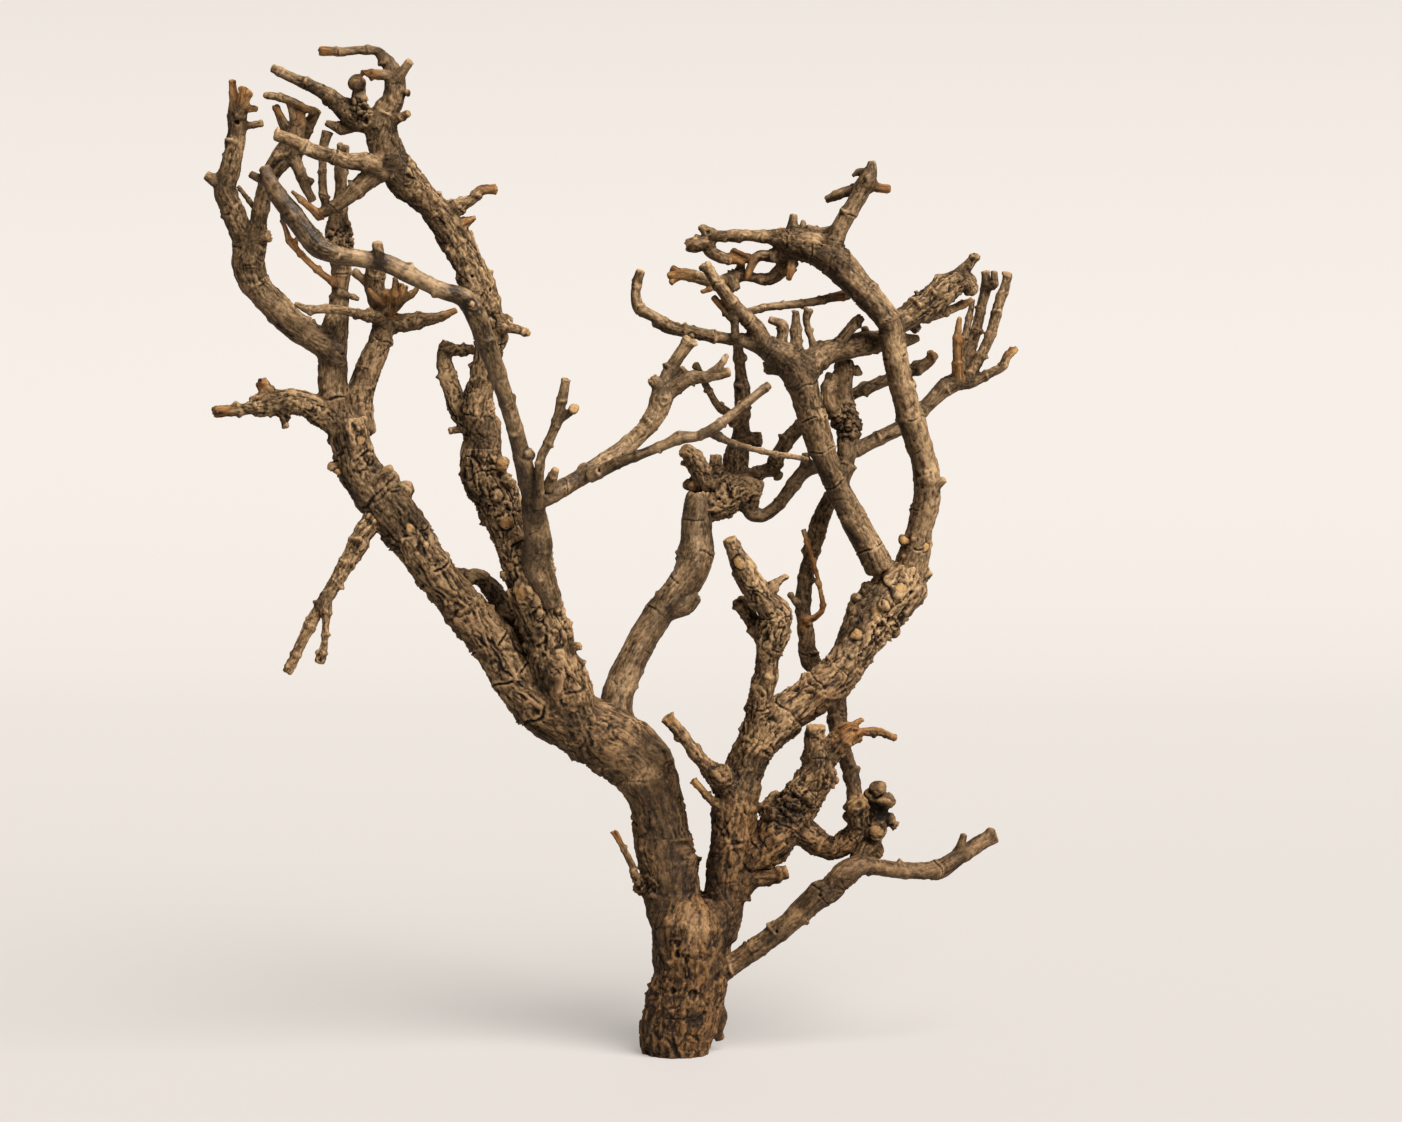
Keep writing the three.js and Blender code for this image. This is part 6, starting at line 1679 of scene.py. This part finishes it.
@dataclass(frozen=True)
class Finish:
    """The bark's colours as linear light, its shine, and its patterns as repeats in a metre."""

    hollow: Triple = (0.012, 0.007, 0.003)
    grey: Triple = (0.140, 0.085, 0.040)
    grey_ridge: Triple = (0.450, 0.300, 0.165)
    # The warm colours are the foot's warmer brown, darkened as painted shade for the lower part of the
    # piece.
    warm: Triple = (0.070, 0.034, 0.012)
    warm_ridge: Triple = (0.220, 0.120, 0.048)
    pale: Triple = (0.190, 0.120, 0.060)
    pale_ridge: Triple = (0.430, 0.290, 0.165)
    shadow: Triple = (0.040, 0.023, 0.010)
    dim: Triple = (0.110, 0.064, 0.029)
    cut: Triple = (0.440, 0.265, 0.115)
    raw: Triple = (0.220, 0.095, 0.028)
    roughness: float = 0.78
    shine: float = 0.28
    streaks: Triple = (620, 620, 90)
    flecks: Triple = (1500, 1500, 700)
    splits: Triple = (520, 520, 170)
    blotches: Triple = (130, 130, 130)
    patches: Triple = (45, 45, 45)
    sways: Triple = (260, 260, 260)

    def material(self, name: str) -> bpy.types.Material:
        """Makes the material.

        Args:
            name: Name of the part that wears it.

        Returns:
            The material.
        """
        made = bpy.data.materials.new(f"{name}_bark")
        made.use_nodes = True
        web = Web(made.node_tree)
        grain, place, bare = web.tone("grain", vector=True), web.object_place(), web.tone("bare")
        streak = web.noise(grain, self.streaks, detail=5)
        fleck = web.noise(grain, self.flecks, detail=3)
        blotch = web.noise(place, self.blotches, detail=4)
        patch = web.noise(place, self.patches, detail=2)
        # The relief tone runs from the hollow colour to the ridge colours: the bark's own darker crevices
        # and paler ridges, with painted shade and painted highlight from the skin's bend.
        high = web.span(web.tone("relief"), -0.6, 0.8)
        high = web.math("ADD", high, web.span(streak, 0.25, 0.75, -0.26, 0.26))
        high = web.math("ADD", high, web.span(fleck, 0.3, 0.7, -0.22, 0.22))
        high = web.math("ADD", high, web.span(blotch, 0.3, 0.7, -0.17, 0.17), clamp=True)
        # The warm colours take over towards the bottom: warmer wood, and painted shade low on the piece.
        warmth_and_low_shade = web.math("ADD", web.tone("warmth_and_low_shade"), web.span(patch, 0.45, 0.7, 0, 0.35), clamp=True)
        colour = web.mix(warmth_and_low_shade, web.ramp(high, (self.hollow, self.grey, self.grey_ridge)),
                         web.ramp(high, (self.hollow, self.warm, self.warm_ridge)))
        layers = (
            (bare, web.span(blotch, 0.38, 0.5, 0.35, 1.0), high, (self.shadow, self.pale, self.pale_ridge)),
            # The dark tone carries painted shade (sides turned from the key light, crotches, shade marks)
            # and the own darkness of dark bark, and mixes towards the shadow colours.
            (web.tone("dark"), web.span(patch, 0.3, 0.6, 0.6, 1.0), high,
             (self.hollow, self.shadow, self.dim)),
            (bare, web.span(patch, 0.46, 0.60, 0.0, 0.7), high, (self.hollow, self.shadow, self.grey)),
            (web.tone("raw"), web.span(blotch, 0.3, 0.45), web.span(streak, 0.3, 0.7),
             (self.hollow, self.raw, self.cut)),
            (web.tone("cut"), web.span(blotch, 0.25, 0.4), web.span(fleck, 0.2, 0.6),
             (self.warm, self.cut, self.cut)),
        )
        for tone, spots, shade, colours in layers:
            colour = web.mix(web.math("MULTIPLY", tone, spots), colour, web.ramp(shade, colours))
        net = web.cell_edge(grain, self.splits, web.noise(place, self.sways, detail=2))
        line = web.math("MULTIPLY", web.span(net, 0.0, 0.04, 0.4, 0.0), web.span(bare, 0.0, 1.0, 1.0, 0.35))
        gap = web.math("MAXIMUM", line, web.math("MULTIPLY", web.tone("crack"), 0.55))
        colour = web.mix(gap, colour, self.hollow)
        bump = web.math("ADD", web.span(streak, 0.2, 0.8, 0.0, 0.7), web.span(fleck, 0.2, 0.8, 0.0, 0.35))
        bump = web.math("SUBTRACT", bump, line)
        web.finish(colour, web.span(bare, 0.2, 1.0, self.roughness, self.roughness - self.shine), bump)
        return made


class Web:
    """A small hand for laying out shader nodes."""

    ramp_stops = (0.13, 0.42, 0.88)
    first_colour = 6
    second_colour = 7
    blended_colour = 2

    def __init__(self, tree: bpy.types.NodeTree) -> None:
        """Takes the tree and its shader.

        Args:
            tree: Node tree of a new material.
        """
        self.tree = tree
        self.shader = tree.nodes["Principled BSDF"]

    def add(self, kind: str) -> bpy.types.Node:
        """Returns a new node of a kind."""
        return self.tree.nodes.new(kind)

    def link(self, start: Socket, end: Socket) -> None:
        """Joins two sockets."""
        self.tree.links.new(start, end)

    def tone(self, name: str, vector: bool = False) -> Socket:
        """Reads an attribute of the mesh.

        Args:
            name: Attribute.
            vector: True for a place, False for one number.

        Returns:
            The output socket.
        """
        node = self.add("ShaderNodeAttribute")
        node.attribute_name = name
        return node.outputs["Vector" if vector else "Fac"]

    def object_place(self) -> Socket:
        """Returns the object coordinates."""
        return self.add("ShaderNodeTexCoord").outputs["Object"]

    def scaled(self, place: Socket, scale: Triple) -> Socket:
        """Stretches coordinates.

        Args:
            place: Coordinates in metres.
            scale: Repeats in a metre along each axis.

        Returns:
            The stretched coordinates.
        """
        node = self.add("ShaderNodeMapping")
        node.inputs["Scale"].default_value = scale
        self.link(place, node.inputs["Vector"])
        return node.outputs["Vector"]

    def noise(self, place: Socket, scale: Triple, detail: float) -> Socket:
        """Adds a cloud of noise.

        Args:
            place: Coordinates in metres.
            scale: Repeats in a metre along each axis.
            detail: Finer layers.

        Returns:
            Its value, about 0.25 to 0.75.
        """
        node = self.add("ShaderNodeTexNoise")
        node.inputs["Scale"].default_value = 1.0
        node.inputs["Detail"].default_value = detail
        node.inputs["Roughness"].default_value = 0.6
        self.link(self.scaled(place, scale), node.inputs["Vector"])
        return node.outputs["Fac"]

    def cell_edge(self, place: Socket, scale: Triple, sway: Socket) -> Socket:
        """Adds a net of fine splits.

        Args:
            place: Coordinates in metres.
            scale: Cells in a metre along each axis.
            sway: Noise that bends the net.

        Returns:
            The distance from the nearest split.
        """
        bent = self.add("ShaderNodeVectorMath")
        bent.operation = "ADD"
        self.link(self.scaled(place, scale), bent.inputs[0])
        self.link(self.span(sway, 0.0, 1.0, -1.3, 1.3), bent.inputs[1])
        node = self.add("ShaderNodeTexVoronoi")
        node.feature = "DISTANCE_TO_EDGE"
        node.inputs["Scale"].default_value = 1.0
        self.link(bent.outputs["Vector"], node.inputs["Vector"])
        return node.outputs["Distance"]

    def span(self, value: Socket, low: float, high: float, start: float = 0.0, end: float = 1.0) -> Socket:
        """Maps a range onto another, and stops at its ends.

        Args:
            value: Input.
            low: Input that gives start.
            high: Input that gives end.
            start: Output at low.
            end: Output at high.

        Returns:
            The mapped value.
        """
        node = self.add("ShaderNodeMapRange")
        for key, number in (("From Min", low), ("From Max", high), ("To Min", start), ("To Max", end)):
            node.inputs[key].default_value = number
        self.link(value, node.inputs["Value"])
        return node.outputs["Result"]

    def math(self, operation: str, first: Socket, second: Socket | float, clamp: bool = False) -> Socket:
        """Adds a sum or the like.

        Args:
            operation: Name of the operation.
            first: First value.
            second: Second value, or a fixed number.
            clamp: Whether the result stays from 0 to 1.

        Returns:
            The result.
        """
        node = self.add("ShaderNodeMath")
        node.operation = operation
        node.use_clamp = clamp
        self.link(first, node.inputs[0])
        if isinstance(second, float):
            node.inputs[1].default_value = second
        else:
            self.link(second, node.inputs[1])
        return node.outputs[0]

    def ramp(self, value: Socket, colours: tuple) -> Socket:
        """Runs through three colours.

        Args:
            value: Place on the ramp, from 0 to 1.
            colours: Colour of the hollows, of the middle and of the ridges.

        Returns:
            The colour.
        """
        node = self.add("ShaderNodeValToRGB")
        stops = node.color_ramp.elements
        stops.new(self.ramp_stops[1])
        for stop, at, colour in zip(stops, self.ramp_stops, colours):
            stop.position = at
            stop.color = (*colour, 1.0)
        self.link(value, node.inputs["Fac"])
        return node.outputs["Color"]

    def mix(self, share: Socket, first: Socket, second: Socket | Triple) -> Socket:
        """Blends two colours.

        Args:
            share: Share of the second.
            first: First colour.
            second: Second colour, or a fixed one.

        Returns:
            The blend.
        """
        node = self.add("ShaderNodeMix")
        node.data_type = "RGBA"
        self.link(share, node.inputs["Factor"])
        self.link(first, node.inputs[self.first_colour])
        if isinstance(second, tuple):
            node.inputs[self.second_colour].default_value = (*second, 1.0)
        else:
            self.link(second, node.inputs[self.second_colour])
        return node.outputs[self.blended_colour]

    def finish(self, colour: Socket, roughness: Socket, height: Socket) -> None:
        """Feeds the shader.

        Args:
            colour: Base colour.
            roughness: How matt it is.
            height: Fine relief, 1 for 0.3 mm.
        """
        bump = self.add("ShaderNodeBump")
        bump.inputs["Strength"].default_value = 0.8
        bump.inputs["Distance"].default_value = 0.0003
        self.link(height, bump.inputs["Height"])
        self.link(bump.outputs["Normal"], self.shader.inputs["Normal"])
        self.link(colour, self.shader.inputs["Base Color"])
        self.link(roughness, self.shader.inputs["Roughness"])
        self.shader.inputs["Specular IOR Level"].default_value = 0.35


@dataclass
class Studio:
    """The camera, the pale sweep under and behind the piece, and the lights."""

    sweep_width: float = 3.0
    sweep_front: float = -0.3
    sweep_back: float = 2.2
    sweep_height: float = 1.3
    bend: float = 1.0
    sensor: float = 36.0
    lens: float = sensor * View.sight / View.frame_width
    backdrop: Triple = (0.27, 0.26, 0.25)
    glow: Triple = (0.285, 0.266, 0.251)
    key_place: Triple = (0.50, -0.60, 0.86)
    key_spread: float = 50.0
    key_strength: float = 5.0
    key_colour: Triple = (1.0, 0.975, 0.94)
    sky_colour: Triple = (1.0, 0.965, 0.92)
    sky_strength: float = 0.24

    def camera(self) -> None:
        """Puts the camera at the eye of the routes."""
        bpy.ops.object.camera_add(location=View.eye() * MM)
        eye = bpy.context.object
        down = math.atan2(View.height - View.middle_z, View.distance)
        eye.rotation_euler = (math.pi / 2 - down, 0.0, 0.0)
        eye.data.lens = self.lens
        eye.data.sensor_width = self.sensor
        eye.data.clip_start = 0.05
        eye.data.clip_end = 30.0
        bpy.context.scene.camera = eye

    def floor(self) -> None:
        """Makes the floor, which bends up behind the piece without a line."""
        deselect()
        bpy.ops.mesh.primitive_plane_add(size=1.0)
        sweep = bpy.context.object
        sweep.name = "sweep"
        depth = self.sweep_back - self.sweep_front
        sweep.scale = (self.sweep_width, depth, 1.0)
        sweep.location = (0.0, self.sweep_front + depth / 2, 0.0)
        bpy.ops.object.transform_apply(location=True, rotation=False, scale=True)
        to_mode("EDIT")
        bpy.ops.mesh.select_mode(type="EDGE")
        bpy.ops.mesh.select_all(action="DESELECT")
        to_mode("OBJECT")
        for edge in sweep.data.edges:
            edge.select = all(sweep.data.vertices[v].co.y > self.sweep_back - 0.01 for v in edge.vertices)
        to_mode("EDIT")
        bpy.ops.mesh.extrude_region_move(TRANSFORM_OT_translate={"value": (0, 0, self.sweep_height)})
        to_mode("OBJECT")
        for edge in sweep.data.edges:
            ends = [sweep.data.vertices[v].co for v in edge.vertices]
            edge.select = all(c.y > self.sweep_back - 0.01 and c.z < 0.01 for c in ends)
        to_mode("EDIT")
        bpy.ops.mesh.bevel(offset=self.bend, segments=32)
        to_mode("OBJECT")
        bpy.ops.object.shade_smooth()
        paper = bpy.data.materials.new("paper")
        paper.use_nodes = True
        shader = paper.node_tree.nodes["Principled BSDF"]
        shader.inputs["Base Color"].default_value = (*self.backdrop, 1.0)
        shader.inputs["Emission Color"].default_value = (*self.glow, 1.0)
        shader.inputs["Emission Strength"].default_value = 1.0
        shader.inputs["Roughness"].default_value = 0.9
        sweep.data.materials.append(paper)

    def lights(self) -> None:
        """Adds the key light, which is even and wide as from a large soft box, and soft light all round."""
        x, y, z = self.key_place
        bpy.ops.object.light_add(type="SUN", location=self.key_place)
        key = bpy.context.object
        key.name = "key"
        key.data.angle = math.radians(self.key_spread)
        key.data.energy = self.key_strength
        key.data.color = self.key_colour
        key.rotation_euler = (math.atan2(math.hypot(x, y), z), 0.0, math.atan2(x, -y))
        world = bpy.data.worlds.new("soft_light")
        bpy.context.scene.world = world
        world.use_nodes = True
        sky = world.node_tree.nodes["Background"]
        sky.inputs["Color"].default_value = (*self.sky_colour, 1.0)
        sky.inputs["Strength"].default_value = self.sky_strength


def main() -> None:
    """Builds the studio and every part of the driftwood."""
    logging.basicConfig(level=logging.INFO, format="%(message)s")
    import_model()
    deselect()
    studio = Studio()
    studio.camera()
    studio.floor()
    studio.lights()
    bpy.context.scene.view_settings.view_transform = "Standard"
    bpy.context.scene.view_settings.look = "Medium High Contrast"
    finish = Finish()
    for part in (MainFork, LeftCrown, MiddleCrown, PaleBoughs, RearKnot, RightCrown, LowerLimbs):
        part().build(finish)


if __name__ == "__main__":
    main()
